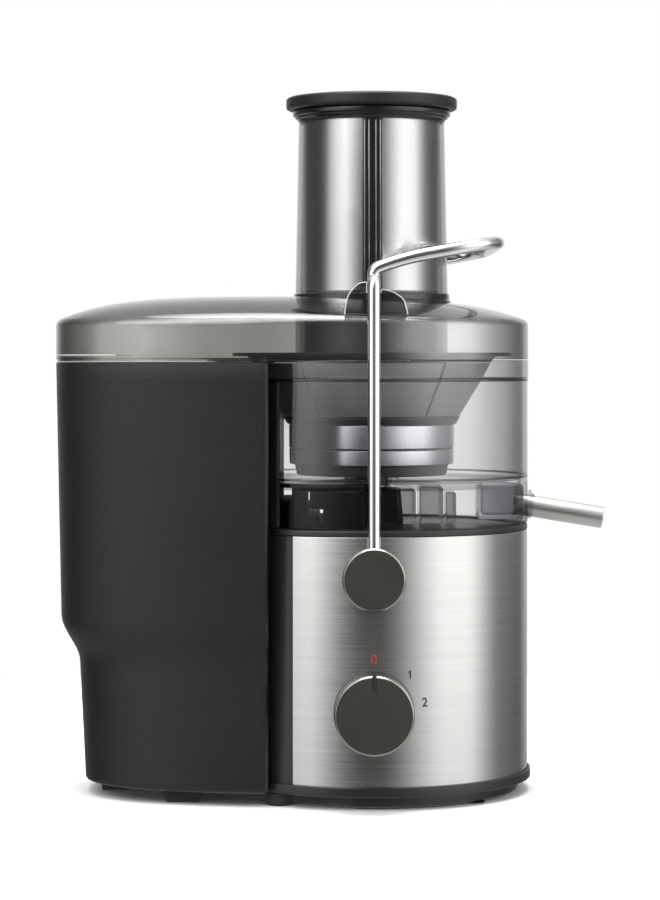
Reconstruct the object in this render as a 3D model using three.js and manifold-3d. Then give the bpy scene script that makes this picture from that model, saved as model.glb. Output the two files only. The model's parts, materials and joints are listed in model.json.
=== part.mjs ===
// Centrifugal juicer: motor base, spinning filter basket, clear juice bowl with a spout,
// smoked lid with a wide feed tube, pusher, locking arm and a pulp container.
// Millimetres, +Z up. While modelling, the motor axis is x = y = 0 and the worktop is z = 0;
// the finished group is then centred over its footprint.

import * as THREE from 'three';
import { mergeVertices } from 'three/addons/utils/BufferGeometryUtils.js';
import Module from 'manifold-3d';

const wasm = await Module();
wasm.setup();

// ---------------------------------------------------------------- driving dimensions

const GAP = 0.3; // left between pieces that touch
const FINE = 40; // facets round a large turned piece
const ROUND = 32;
const MEDIUM = 24;
const SMALL = 12;
const ROD_SIDES = 8;

const STEEL = { radius: 91.5, thick: 1, bottom: 10.8, top: 152.7, halfAngle: 119.7 };
const BASE = { radius: 93.3, bottom: 7.5, floor: 10.5, lip: 13.2, lipWall: 1.5, edge: 1 };
const POST = { x: 40, halfX: 5, halfY: 8 };
const HOUSING = { radius: 90.2, wall: 2.5, bottom: 10.8, top: 152.5, wrapGapAngle: 0.6, boreFrom: 80, boreTo: 100 };
const SCREW = { circle: 82, angles: [-60, 60, 180], head: 4, headBottom: 7.7, headTop: 9.4, shank: 1.9, tip: 21.5 };
const BOSS = { radius: 6.5, top: 24 };
const SKIRT = { inner: 77, outer: 86, halfAngle: 99, bottom: 0.9 };
const PAD = { radius: 6, circle: 81.5, angle: 45, top: 0.6 };
const FOOT = { radius: 8.1, edge: 0.8, x: -53, y: 66, top: 7.2 };
const DECK = { bottom: 150, rim: 152.9, top: 157.4, plinth: 57, plinthRight: -4, tower: 18, height: 176.5, hole: 8.5 };
const SEAL = { bottom: 164, top: 171 };
const GLAND = { z: 30, bore: 3.6, nut: 9.8, neck: 7, flange: 9, back: 84, nutEnd: 86.6, neckEnd: 92.2, end: 96 };

const BOWL = {
  radius: 91.8, wall: 2.8, bottom: 157.8, floorUnder: 178.5, floor: 181,
  bandRadius: 92.3, band: 241.4, rim: 251.7, hubBore: 12, hubRadius: 14.5, hubTop: 186.5,
};
const SUMP = { left: 62, halfWidth: 17, bottom: 158.6, wall: 2.5, bridge: 6, bridgeAngle: 11 };
const SPOUT = {
  radius: 6.3, bore: 5.1, startX: 84, endX: 136, startZ: 167.3, drop: 0.162,
  collar: 10, collarFrom: 4, collarTo: 12,
};

const LID = {
  radius: 92.2, wall: 2.5, bottom: 252, edge: 273, reach: 185, power: 2.8, hole: 45.6,
  ringRadius: 47, ringBottom: 283, ringTop: 291,
  riseRight: 13.5, riseLeft: 15.7, curveRight: 3, curveLeft: 6, facets: 48,
};
const LUG = {
  left: -16.4, right: 18.9, bottom: 272, shoulder: 283, stopTop: 295.3, stopRight: -4,
  notchRight: 3.8, notch: 289.5, ramp: 291.2, outerY: 92, innerY: 85,
};
const TUBE = {
  radius: 44.9, topRadius: 42.9, wall: 2.6, bottom: 223, taper: 288,
  flange: 391.4, flangeRadius: 46.4, top: 398,
};
const PUSHER = {
  sleeve: 39.8, sleeveWall: 1.2, core: 39.4, coreWall: 2.3, coreEdge: 2,
  bottom: 228, step: 291.7, top: 398.1,
};
const CAP = { radius: 50.3, bottom: 398.4, top: 406, round: 2, edge: 0.6 };

const PIVOT = {
  z: 129.7, pin: 4, pinHead: 7, headFrom: 84, headTo: 86.9, pinEnd: 98,
  capRadius: 17.7, capInner: 92.6, capOuter: 103, chamfer: 0.8,
};
const ROD = {
  radius: 3.25, legY: 98, loopY: 88.5, legTop: 296, stubTop: 302.6, kneeX: 18, kneeZ: 309, loopX: 71.5, loopZ: 318.6,
  start: 137, legBend: 4.4, stubBend: 2.9, kneeBend: 12, loopBend: 34, steps: 124,
};
const KNOB = {
  z: 55.5, radius: 22.25, back: 95.3, front: 112, chamfer: 0.8, skirt: 22.6, skirtBack: 92.2,
  spindle: 3, spindleBack: 74, spindleFront: 103.7, wallHole: 3.7, grooveHalf: 1.5, grooveLength: 8.5,
};
// front to back as negative and positive y
const SWITCH = { halfWidth: 14, halfHeight: 13.5, front: -86.2, back: -66 };
const BOARD = { halfWidth: 22, halfHeight: 20, front: -65.7, back: -64 };
const INTERLOCK = { left: 8, right: 26, front: -83.4, back: -72, halfHeight: 10 };

const BASKET = {
  baseRadius: 45, bottom: 184.2, bandBottom: 190.9, core: 46, bandTop: 213.9, band: 48.6,
  groove: 200, grooveHalf: 0.5, grooveDepth: 1, recess: 17.5, recessTop: 189.6, edge: 1, collar: 52, collarTop: 219,
  coneMid: 66, coneMidZ: 242, coneTop: 70, coneTopZ: 250, skin: 1.2, rim: 82, rimBottom: 254, rimTop: 256,
};
const GRATER = {
  radius: 48.4, bottom: 214.2, top: 216.2, tooth: 2.2, toothRadius: 1.6, sunk: 0.5, rings: [14, 27, 40], perRing: 8,
};

const SHAFT = { radius: 5, bottom: 22, top: 181.9 };
const BEARING = { radius: 11, height: 7, lower: 26, upper: 112 };
const BRACKET = { endX: 30, endRadius: 18, columnX: 44, columnHalfX: 3.5, columnHalfY: 8 };
const STATOR = {
  length: 96, width: 76, bottom: 60.3, top: 99.7, bore: 27,
  coil: 36, coilInset: 1.2, coilBottom: 51, coilTop: 109, coilHalfAngle: 48,
};
const ARMATURE = { radius: 25.8, winding: 22, bottom: 61, top: 99, lower: 50.5, upper: 109.5 };
const COMMUTATOR = { radius: 13, bottom: 37.5, top: 50.2 };
const BRUSH = { width: 6.6, height: 5.6, tip: 13.3, end: 30, z: 44, holderWall: 1.9, holderTip: 14.8, holderEnd: 34 };
const FAN = { radius: 36, bottom: 124, disc: 2, height: 13, blades: 8, bladeHalf: 0.8, hub: 10 };
const COUPLING = { radius: 10, bottom: 178, top: 189.3 };

const BIN = {
  edgeX: -59, bodyRadius: 95, wall: 2.5, bottom: 7.6, top: 250.5, power: 2.8, facets: 48, hollowFacets: 96,
  // height, reach to the left, half width
  levels: [
    [7.6, 167.7, 80], [60, 169.8, 82], [78, 171, 83], [86, 173.5, 83.6], [94, 179.5, 84.3], [102, 182, 85],
    [250.5, 185, 91],
  ],
};
const BIN_FOOT = { x: -107.5, length: 27, y: 52, width: 15, top: 7.2, toeLeft: 3.5, toeRight: 5 };
const HEEL = { x: -150, halfX: 8, halfY: 14 };
const CLEAR = 300; // longer than any piece, for cutting tools

// ---------------------------------------------------------------- materials

const finish = (color, roughness, metalness = 0, opacity = 1) =>
  new THREE.MeshStandardMaterial({ color, roughness, metalness, opacity, transparent: opacity < 1 });

const darkPlastic = () => finish(0x1b1b1c, 0.5);
const grainedPlastic = () => finish(0x2d2d2e, 0.6);
const smokedPlastic = () => finish(0x8d8f90, 0.08, 0, 0.4);
const clearPlastic = () => finish(0xb9bbbc, 0.06, 0, 0.3);
const brushedSteel = () => finish(0xb9b8b5, 0.32, 1);
const polishedSteel = () => finish(0xd6d6d4, 0.12, 1);
const greySatin = () => finish(0x3e3c37, 0.42, 0.4);
const silver = () => finish(0xc7c8ca, 0.28, 0.9);
const rubber = () => finish(0x151515, 0.85);
const castAluminium = () => finish(0x9a9c9e, 0.5, 0.8);
const laminatedIron = () => finish(0x50525a, 0.55, 0.7);
const copper = () => finish(0xb56a3a, 0.35, 0.9);
const boardGreen = () => finish(0x1f5a38, 0.55);

// ---------------------------------------------------------------- solid helpers

const radians = THREE.MathUtils.degToRad;

/** The geometry with only positions left, shared vertices merged and its faces outward. */
function closed(geometry) {
  geometry.deleteAttribute('normal');
  geometry.deleteAttribute('uv');
  const merged = mergeVertices(geometry, 1e-4);
  const place = merged.attributes.position;
  const corners = [0, 1, 2].map(() => new THREE.Vector3());
  const kept = [];
  let volume = 0;
  for (let i = 0; i < merged.index.count; i += 3) {
    const ids = [0, 1, 2].map((k) => merged.index.getX(i + k));
    if (new Set(ids).size < 3) continue;
    corners.forEach((corner, k) => corner.fromBufferAttribute(place, ids[k]));
    volume += corners[0].dot(corners[1].clone().cross(corners[2]));
    kept.push(ids);
  }
  merged.setIndex((volume < 0 ? kept.map((ids) => ids.reverse()) : kept).flat());
  return merged;
}

function toSolid(geometry) {
  const ready = closed(geometry);
  return new wasm.Manifold(new wasm.Mesh({
    numProp: 3,
    vertProperties: new Float32Array(ready.attributes.position.array),
    triVerts: new Uint32Array(ready.index.array),
  }));
}

function toGeometry(solid) {
  const mesh = solid.getMesh();
  const geometry = new THREE.BufferGeometry();
  geometry.setAttribute('position', new THREE.BufferAttribute(new Float32Array(mesh.vertProperties), 3));
  geometry.setIndex(new THREE.BufferAttribute(new Uint32Array(mesh.triVerts), 1));
  return geometry;
}

const join = (...pieces) => toGeometry(pieces.map(toSolid).reduce((a, b) => a.add(b)));
const cut = (base, ...tools) => toGeometry(tools.map(toSolid).reduce((a, b) => a.subtract(b), toSolid(base)));

/** A profile of [radius, z] pairs turned about the Z axis. */
function turned(profile, facets = MEDIUM, close = false) {
  const points = profile.map(([radius, z]) => new THREE.Vector2(radius, z));
  if (close) points.push(points[0].clone());
  return closed(new THREE.LatheGeometry(points, facets).rotateX(Math.PI / 2));
}

/** A closed profile turned about the Z axis, for rings and tubes. */
const ring = (profile, facets) => turned(profile, facets, true);
const washer = (inner, outer, bottom, top, facets) =>
  ring([[inner, bottom], [outer, bottom], [outer, top], [inner, top]], facets);
const disc = (radius, bottom, top, facets) => turned([[0, bottom], [radius, bottom], [radius, top], [0, top]], facets);

const block = (x0, x1, y0, y1, z0, z1) =>
  new THREE.BoxGeometry(x1 - x0, y1 - y0, z1 - z0).translate((x0 + x1) / 2, (y0 + y1) / 2, (z0 + z1) / 2);

/** A flat outline raised from one height to another. */
function raised(shape, bottom, top, curveSegments = 12) {
  const geometry = new THREE.ExtrudeGeometry(shape, { depth: top - bottom, bevelEnabled: false, curveSegments });
  return geometry.translate(0, 0, bottom);
}

/** Part of a ring between two angles in degrees. */
function ringSector(inner, outer, from, to, bottom, top, curveSegments) {
  const shape = new THREE.Shape();
  shape.absarc(0, 0, outer, radians(from), radians(to), false);
  shape.absarc(0, 0, inner, radians(to), radians(from), true);
  return raised(shape, bottom, top, curveSegments);
}

/** Turns a piece made along +Z so that it points to the front (side = -1) or to the back (side = 1). */
const facing = (geometry, side, z) => geometry.rotateX(side < 0 ? Math.PI / 2 : -Math.PI / 2).translate(0, 0, z);

const polar = (radius, degrees) => [radius * Math.cos(radians(degrees)), radius * Math.sin(radians(degrees))];

/** Radius of the long rounded outline that reaches to the left, at an angle about the motor axis. */
function outlineRadius(angle, reach, halfWidth, power) {
  const along = Math.abs(Math.cos(angle)) / (Math.cos(angle) < 0 ? reach : halfWidth);
  const across = Math.abs(Math.sin(angle)) / halfWidth;
  const bend = Math.cos(angle) < 0 ? power : 2;
  return (along ** bend + across ** bend) ** (-1 / bend);
}

/** Moves every point of a geometry through a function of its position. */
function reshape(geometry, move) {
  const place = geometry.attributes.position;
  const point = new THREE.Vector3();
  for (let i = 0; i < place.count; i += 1) {
    point.fromBufferAttribute(place, i);
    move(point);
    place.setXYZ(i, point.x, point.y, point.z);
  }
  return geometry;
}

/** A round rod that follows straight runs between points, with a bend radius at each corner. */
function bentRod(corners, radius, steps) {
  const path = new THREE.CurvePath();
  let from = corners[0].at;
  for (let i = 1; i < corners.length - 1; i += 1) {
    const { at, bend } = corners[i];
    const enter = at.clone().add(corners[i - 1].at.clone().sub(at).setLength(bend));
    const leave = at.clone().add(corners[i + 1].at.clone().sub(at).setLength(bend));
    path.add(new THREE.LineCurve3(from, enter));
    path.add(new THREE.QuadraticBezierCurve3(enter, at, leave));
    from = leave;
  }
  path.add(new THREE.LineCurve3(from, corners.at(-1).at));
  const section = new THREE.Shape().absarc(0, 0, radius, 0, Math.PI * 2, false);
  const options = { steps, extrudePath: path, bevelEnabled: false, curveSegments: ROD_SIDES / 2 };
  return closed(new THREE.ExtrudeGeometry(section, options));
}

// ---------------------------------------------------------------- assembly

const juicer = new THREE.Group();

function add(name, geometry, material) {
  const mesh = new THREE.Mesh(closed(geometry), material);
  mesh.name = name;
  juicer.add(mesh);
}

const ends = [['front', -1], ['back', 1]];

// ---------------------------------------------------------------- base and housing

function makeBase() {
  const { radius, bottom, floor, lip, lipWall, edge } = BASE;
  const plate = turned([[0, bottom], [radius - edge, bottom], [radius, bottom + edge], [radius, lip],
    [radius - lipWall, lip], [radius - lipWall, floor], [0, floor]], FINE);
  const pillars = [-POST.x, POST.x].map((x) =>
    block(x - POST.halfX, x + POST.halfX, -POST.halfY, POST.halfY, floor - 1, BEARING.lower - GAP));
  const sinks = SCREW.angles.flatMap((angle) => {
    const [x, y] = polar(SCREW.circle, angle);
    return [disc(SCREW.head + GAP, bottom - 1, SCREW.headTop + GAP, SMALL).translate(x, y, 0),
      disc(SCREW.shank + GAP, bottom, floor + 1, SMALL).translate(x, y, 0)];
  });
  add('base_plate', cut(join(plate, ...pillars), ...sinks), darkPlastic());
  add('foot_skirt', ringSector(SKIRT.inner, SKIRT.outer, -SKIRT.halfAngle, SKIRT.halfAngle, SKIRT.bottom,
    bottom - GAP, 24), darkPlastic());
  for (const [name, side] of ends) {
    const [padX, padY] = polar(PAD.circle, side * PAD.angle);
    add(`skirt_pad_${name}`, disc(PAD.radius, 0, PAD.top, SMALL).translate(padX, padY, 0), rubber());
    const foot = turned([[0, 0], [FOOT.radius - FOOT.edge, 0], [FOOT.radius, FOOT.edge], [FOOT.radius, FOOT.top],
      [0, FOOT.top]], SMALL);
    add(`foot_${name}`, foot.translate(FOOT.x, side * FOOT.y, 0), rubber());
  }
  ['front', 'rear', 'left'].forEach((name, i) => {
    const [x, y] = polar(SCREW.circle, SCREW.angles[i]);
    const screw = turned([[0, SCREW.headBottom], [SCREW.head, SCREW.headBottom], [SCREW.head, SCREW.headTop],
      [SCREW.shank, SCREW.headTop], [SCREW.shank, SCREW.tip], [0, SCREW.tip]], SMALL);
    add(`base_screw_${name}`, screw.translate(x, y, 0), polishedSteel());
  });
}

/** Holes through the housing wall and the steel wrap: pivots, spindle and cable gland. */
function wallHoles(clearance) {
  const bore = (radius, side, z) =>
    facing(disc(radius + clearance, HOUSING.boreFrom, HOUSING.boreTo, SMALL), side, z);
  return [bore(PIVOT.pin, -1, PIVOT.z), bore(PIVOT.pin, 1, PIVOT.z), bore(KNOB.wallHole, -1, KNOB.z),
    bore(GLAND.neck + GAP, 1, GLAND.z)];
}

function makeHousing() {
  const { radius, wall, bottom, top, wrapGapAngle } = HOUSING;
  const shell = washer(radius - wall, radius, bottom, top, FINE);
  const stripFrom = STEEL.halfAngle + wrapGapAngle;
  const strip = ringSector(radius - STEEL.thick, STEEL.radius, stripFrom, 360 - stripFrom, bottom,
    STEEL.top - GAP, 20);
  const bosses = SCREW.angles.map((angle) =>
    disc(BOSS.radius, bottom, BOSS.top, SMALL).translate(...polar(SCREW.circle, angle), 0));
  const threads = SCREW.angles.map((angle) =>
    disc(SCREW.shank + GAP, bottom - 1, SCREW.tip + GAP, SMALL).translate(...polar(SCREW.circle, angle), 0));
  add('motor_housing', cut(join(shell, strip, ...bosses), ...threads, ...wallHoles(GAP)), darkPlastic());
  const wrap = ringSector(STEEL.radius - STEEL.thick, STEEL.radius, -STEEL.halfAngle, STEEL.halfAngle,
    STEEL.bottom, STEEL.top, 36);
  add('steel_wrap', cut(wrap, ...wallHoles(0.6)), brushedSteel());
}

function makeDeck() {
  const { bottom, rim, top, plinth, plinthRight, tower, height, hole } = DECK;
  const inner = HOUSING.radius - HOUSING.wall - GAP;
  const plate = turned([[0, bottom], [inner, bottom], [inner, rim], [STEEL.radius, rim], [STEEL.radius, top],
    [0, top]], FINE);
  const box = cut(disc(plinth, top - 1, height, FINE), block(plinthRight, CLEAR, -CLEAR, CLEAR, 0, CLEAR));
  const column = disc(tower, top - 1, height, MEDIUM);
  add('top_deck', cut(join(plate, box, column), disc(hole, 0, CLEAR, MEDIUM)), darkPlastic());
  add('shaft_seal', washer(SHAFT.radius + GAP, hole - GAP, SEAL.bottom, SEAL.top, SMALL), rubber());
}

// ---------------------------------------------------------------- motor

function makeBracket(name, plateBottom, columnBottom, columnTop) {
  const { radius, height } = BEARING;
  const { endX, endRadius, columnX, columnHalfX, columnHalfY } = BRACKET;
  const shape = new THREE.Shape();
  shape.absarc(endX, 0, endRadius, -Math.PI / 2, Math.PI / 2, false);
  shape.absarc(-endX, 0, endRadius, Math.PI / 2, -Math.PI / 2, false);
  const plate = raised(shape, plateBottom, plateBottom + height);
  const columns = [-columnX, columnX].map((x) =>
    block(x - columnHalfX, x + columnHalfX, -columnHalfY, columnHalfY, columnBottom, columnTop));
  const bore = disc(radius + GAP, plateBottom - 1, plateBottom + height + 1, SMALL);
  add(name, cut(join(plate, ...columns), bore), castAluminium());
}

function makeStator() {
  const { length, width, bottom, top, bore, coil, coilInset, coilBottom, coilTop, coilHalfAngle } = STATOR;
  const stack = block(-length / 2, length / 2, -width / 2, width / 2, bottom, top);
  const windows = [0, 180].map((middle) => ringSector(bore - 1, coil + GAP, middle - coilHalfAngle - 1,
    middle + coilHalfAngle + 1, bottom - 1, top + 1, 10));
  add('stator_core', cut(stack, disc(bore, bottom - 1, top + 1, MEDIUM), ...windows), laminatedIron());
  [['right', 0], ['left', 180]].forEach(([name, middle]) => {
    const winding = ringSector(bore + coilInset, coil, middle - coilHalfAngle, middle + coilHalfAngle,
      coilBottom, coilTop, 10);
    add(`field_coil_${name}`, winding, copper());
  });
}

function makeBrush(name, side) {
  const { width, height, tip, end, z, holderWall, holderTip, holderEnd } = BRUSH;
  const span = (near, far) => (side < 0 ? [-far, -near] : [near, far]);
  const halfWidth = width / 2 + holderWall;
  const base = BEARING.lower + BEARING.height + GAP;
  const sleeve = block(-halfWidth, halfWidth, ...span(holderTip, holderEnd), base, z + height / 2 + holderWall);
  const slot = block(-width / 2 - GAP, width / 2 + GAP, ...span(tip, holderEnd + 1),
    z - height / 2 - GAP, z + height / 2 + GAP);
  add(`brush_holder_${name}`, cut(sleeve, slot), finish(0xb08d3c, 0.4, 0.9));
  add(`carbon_brush_${name}`, block(-width / 2, width / 2, ...span(tip, end), z - height / 2, z + height / 2),
    finish(0x202022, 0.7));
}

function makeMotor() {
  const { radius, height, lower, upper } = BEARING;
  makeBracket('motor_bracket_lower', lower, lower + 1, STATOR.bottom - GAP);
  makeBracket('motor_bracket_upper', upper, STATOR.top + GAP, upper + height - 1);
  for (const [name, z] of [['lower', lower], ['upper', upper]]) {
    add(`bearing_${name}`, washer(SHAFT.radius + GAP, radius, z, z + height, SMALL), polishedSteel());
  }
  makeStator();
  ends.forEach(([name, side]) => makeBrush(name, side));
}

function makeRotor() {
  const bore = SHAFT.radius + GAP;
  add('motor_shaft', disc(SHAFT.radius, SHAFT.bottom, SHAFT.top, SMALL), polishedSteel());
  add('armature_core', washer(bore, ARMATURE.radius, ARMATURE.bottom, ARMATURE.top, MEDIUM), laminatedIron());
  add('winding_lower', washer(bore, ARMATURE.winding, ARMATURE.lower, ARMATURE.bottom - GAP, MEDIUM), copper());
  add('winding_upper', washer(bore, ARMATURE.winding, ARMATURE.top + GAP, ARMATURE.upper, MEDIUM), copper());
  add('commutator', washer(bore, COMMUTATOR.radius, COMMUTATOR.bottom, COMMUTATOR.top, MEDIUM), copper());
  const { radius, bottom, disc: plate, height, blades, bladeHalf, hub } = FAN;
  const wheel = washer(bore, radius, bottom, bottom + plate, MEDIUM);
  const boss = washer(bore, hub, bottom, bottom + height, SMALL);
  const vanes = Array.from({ length: blades }, (_, i) =>
    block(hub - 1, radius - 1, -bladeHalf, bladeHalf, bottom + 1, bottom + height).rotateZ((i * 2 * Math.PI) / blades));
  add('cooling_fan', join(wheel, boss, ...vanes), finish(0xd8d6cf, 0.5));
  add('drive_coupling', turned([[0, SHAFT.top + GAP], [bore, SHAFT.top + GAP], [bore, COUPLING.bottom],
    [COUPLING.radius, COUPLING.bottom], [COUPLING.radius, COUPLING.top], [0, COUPLING.top]], SMALL), darkPlastic());
}

// ---------------------------------------------------------------- controls

function makeControls() {
  const { z, radius, back, front, chamfer, skirt, skirtBack } = KNOB;
  const { spindle, spindleBack, spindleFront, grooveHalf, grooveLength } = KNOB;
  const body = turned([[0, back], [radius, back], [radius, front - chamfer], [radius - chamfer, front],
    [0, front]], MEDIUM);
  const socket = disc(spindle + GAP, back - 1, spindleFront + GAP, SMALL);
  const pointer = block(-grooveHalf, grooveHalf, radius - grooveLength, radius + 1, front - 1, front + 1);
  add('speed_knob', facing(cut(body, socket, pointer), -1, z), greySatin());
  add('knob_skirt', facing(washer(spindle + GAP, skirt, skirtBack, back - GAP, MEDIUM), -1, z), darkPlastic());
  add('switch_spindle', facing(disc(spindle, spindleBack, spindleFront, SMALL), -1, z), polishedSteel());

  const shaftHole = facing(disc(spindle + GAP, spindleBack - 1, -SWITCH.front + 1, SMALL), -1, z);
  const unit = block(-SWITCH.halfWidth, SWITCH.halfWidth, SWITCH.front, SWITCH.back,
    z - SWITCH.halfHeight, z + SWITCH.halfHeight);
  add('rotary_switch', cut(unit, shaftHole), finish(0x2a2a2d, 0.5));
  add('control_board', block(-BOARD.halfWidth, BOARD.halfWidth, BOARD.front, BOARD.back,
    z - BOARD.halfHeight, z + BOARD.halfHeight), boardGreen());
  add('interlock_switch', block(INTERLOCK.left, INTERLOCK.right, INTERLOCK.front, INTERLOCK.back,
    PIVOT.z - INTERLOCK.halfHeight, PIVOT.z + INTERLOCK.halfHeight), finish(0x7a1f1a, 0.5));

  const g = GLAND;
  const gland = ring([[g.bore, g.back], [g.nut, g.back], [g.nut, g.nutEnd], [g.neck, g.nutEnd],
    [g.neck, g.neckEnd], [g.flange, g.neckEnd], [g.flange, g.end], [g.bore, g.end]], SMALL);
  add('cord_gland', facing(gland, 1, g.z), rubber());
}

// ---------------------------------------------------------------- locking arm

function makeArm() {
  const { radius, legY, loopY, legTop, stubTop, kneeX, kneeZ, loopX, loopZ, start } = ROD;
  const { legBend, stubBend, kneeBend, loopBend, steps } = ROD;
  const place = (x, y, z) => new THREE.Vector3(x, y, z);
  const half = (side) => [
    { at: place(0, side * legY, start) },
    { at: place(0, side * legY, legTop), bend: legBend },
    { at: place(0, side * loopY, legTop), bend: stubBend },
    { at: place(0, side * loopY, stubTop), bend: stubBend },
    { at: place(kneeX, side * loopY, kneeZ), bend: kneeBend },
    { at: place(loopX, side * loopY, loopZ), bend: loopBend },
  ];
  add('lock_arm', bentRod([...half(-1), ...half(1).reverse()], radius, steps), polishedSteel());

  const { z, pin, pinHead, headFrom, headTo, pinEnd, capRadius, capInner, capOuter, chamfer } = PIVOT;
  for (const [name, side] of ends) {
    const cap = turned([[0, capInner], [capRadius, capInner], [capRadius, capOuter - chamfer],
      [capRadius - chamfer, capOuter], [0, capOuter]], MEDIUM);
    const pinBore = disc(pin + GAP, capInner - 1, pinEnd + GAP, SMALL);
    const rodBore = disc(radius + GAP, start - GAP - PIVOT.z, capRadius + 1, SMALL)
      .rotateX(side < 0 ? -Math.PI / 2 : Math.PI / 2)
      .translate(0, 0, legY);
    add(`arm_cap_${name}`, facing(cut(cap, pinBore, rodBore), side, z), greySatin());
    const stud = turned([[0, headFrom], [pinHead, headFrom], [pinHead, headTo], [pin, headTo], [pin, pinEnd],
      [0, pinEnd]], SMALL);
    add(`pivot_pin_${name}`, facing(stud, side, z), polishedSteel());
  }
}

// ---------------------------------------------------------------- bowl and spout

/** Lays a piece made along +Z on the spout's sloping axis, from the spout's inner end. */
function alongSpout(geometry) {
  return geometry.rotateY(Math.PI / 2 + Math.atan(SPOUT.drop)).translate(SPOUT.startX, 0, SPOUT.startZ);
}

function makeBowl() {
  const { radius, wall, bottom, floorUnder, floor, bandRadius, band, rim, hubBore, hubRadius, hubTop } = BOWL;
  const inner = radius - wall;
  const shell = ring([[radius, bottom], [radius, band], [bandRadius, band], [bandRadius, rim], [inner, rim],
    [inner, floor], [hubRadius, floor], [hubRadius, hubTop], [hubBore, hubTop], [hubBore, floorUnder],
    [inner, floorUnder], [inner, bottom]], FINE);
  const { left, halfWidth, bottom: sumpBottom, wall: sumpWall, bridge, bridgeAngle } = SUMP;
  const sump = block(left, inner - 1.5, -halfWidth, halfWidth, sumpBottom, floorUnder + 1);
  const bridgeWall = ringSector(inner - bridge, inner + 1, -bridgeAngle, bridgeAngle, sumpBottom, floorUnder + 1, 6);
  const bulk = join(shell, sump, bridgeWall);
  const pocket = block(left + sumpWall, inner - 2, -halfWidth + sumpWall, halfWidth - sumpWall,
    sumpBottom + sumpWall, floor + 1);
  const bore = alongSpout(disc(SPOUT.radius + GAP, -2, 14, SMALL));
  add('juice_bowl', cut(bulk, pocket, bore), clearPlastic());

  const length = (SPOUT.endX - SPOUT.startX) / Math.cos(Math.atan(SPOUT.drop));
  add('spout', alongSpout(washer(SPOUT.bore, SPOUT.radius, 0, length, MEDIUM)), polishedSteel());
  const collar = alongSpout(washer(SPOUT.radius + GAP, SPOUT.collar, SPOUT.collarFrom, SPOUT.collarTo, MEDIUM));
  add('spout_collar', cut(collar, disc(radius + GAP, 0, CLEAR, FINE)), clearPlastic());
}

// ---------------------------------------------------------------- lid, feed tube and pusher

function lidSurface(point) {
  const { radius, reach, power, hole, edge, wall, riseRight, riseLeft, curveRight, curveLeft } = LID;
  const angle = Math.atan2(point.y, point.x);
  const flat = Math.hypot(point.x, point.y);
  const outline = outlineRadius(angle, reach, radius, power);
  const spread = THREE.MathUtils.clamp((flat - hole) / (radius - hole - 12), 0, 1);
  const stretched = flat + (outline - radius) * spread;
  const leftness = (1 - Math.cos(angle)) / 2;
  const along = stretched / outline;
  const rise = THREE.MathUtils.lerp(riseRight, riseLeft, leftness);
  const curve = THREE.MathUtils.lerp(curveRight, curveLeft, leftness);
  point.x *= stretched / flat;
  point.y *= stretched / flat;
  if (point.z > edge - 2 * wall) point.z += rise * (1 - along ** curve);
}

function makeLid() {
  const { radius, wall, bottom, edge, hole, ringRadius, ringBottom, ringTop } = LID;
  const stations = [1, 0.96, 0.9, 0.8, 0.66];
  const top = stations.map((part) => [radius * part, edge]);
  const under = stations.map((part) => [(radius - wall) * part, edge - wall]).reverse();
  const profile = [[radius, bottom], ...top, [hole, edge], [hole, edge - wall], ...under, [radius - wall, bottom]];
  const shell = reshape(ring(profile, LID.facets), lidSurface);
  const seat = washer(hole, ringRadius, ringBottom, ringTop, FINE);
  const { left, right, bottom: foot, shoulder, stopTop, stopRight, notchRight, notch, ramp, outerY, innerY } = LUG;
  const outline = new THREE.Shape();
  outline.moveTo(left, foot);
  outline.lineTo(left, shoulder);
  outline.quadraticCurveTo(left, stopTop, stopRight - 5, stopTop);
  outline.lineTo(stopRight, stopTop);
  outline.lineTo(stopRight, notch);
  outline.lineTo(notchRight, notch);
  outline.lineTo(notchRight + 1, ramp);
  outline.quadraticCurveTo(right, ramp, right, shoulder - 3);
  outline.lineTo(right, foot);
  const lug = () => raised(outline, innerY, outerY, 5);
  const frontLug = lug().rotateX(Math.PI / 2);
  const backLug = lug().rotateX(Math.PI / 2).translate(0, innerY + outerY, 0);
  add('lid', join(shell, seat, frontLug, backLug), smokedPlastic());
}

function makeFeed() {
  const { radius, topRadius, wall, bottom, taper, flange, flangeRadius, top } = TUBE;
  add('feed_tube', ring([[radius, bottom], [radius, taper], [topRadius, flange], [flangeRadius, flange],
    [flangeRadius, top], [topRadius - wall, top], [radius - wall, taper], [radius - wall, bottom]], ROUND),
  smokedPlastic());

  const p = PUSHER;
  const inner = p.sleeve - p.sleeveWall;
  add('pusher_sleeve', washer(inner, p.sleeve, p.step + GAP, p.top - GAP, ROUND), brushedSteel());
  add('pusher_core', turned([[0, p.bottom], [p.core - p.coreEdge, p.bottom], [p.core, p.bottom + p.coreEdge],
    [p.core, p.step], [inner - GAP, p.step], [inner - GAP, p.top], [inner - p.coreWall, p.top],
    [inner - p.coreWall, p.bottom + p.coreWall], [0, p.bottom + p.coreWall]], ROUND), finish(0x55575a, 0.4));
  const { radius: capRadius, bottom: capBottom, top: capTop, round, edge } = CAP;
  add('pusher_cap', turned([[0, capBottom], [capRadius, capBottom], [capRadius, capTop - round],
    [capRadius - edge, capTop - edge], [capRadius - round, capTop], [0, capTop]], ROUND), darkPlastic());
}

// ---------------------------------------------------------------- filter basket

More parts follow.
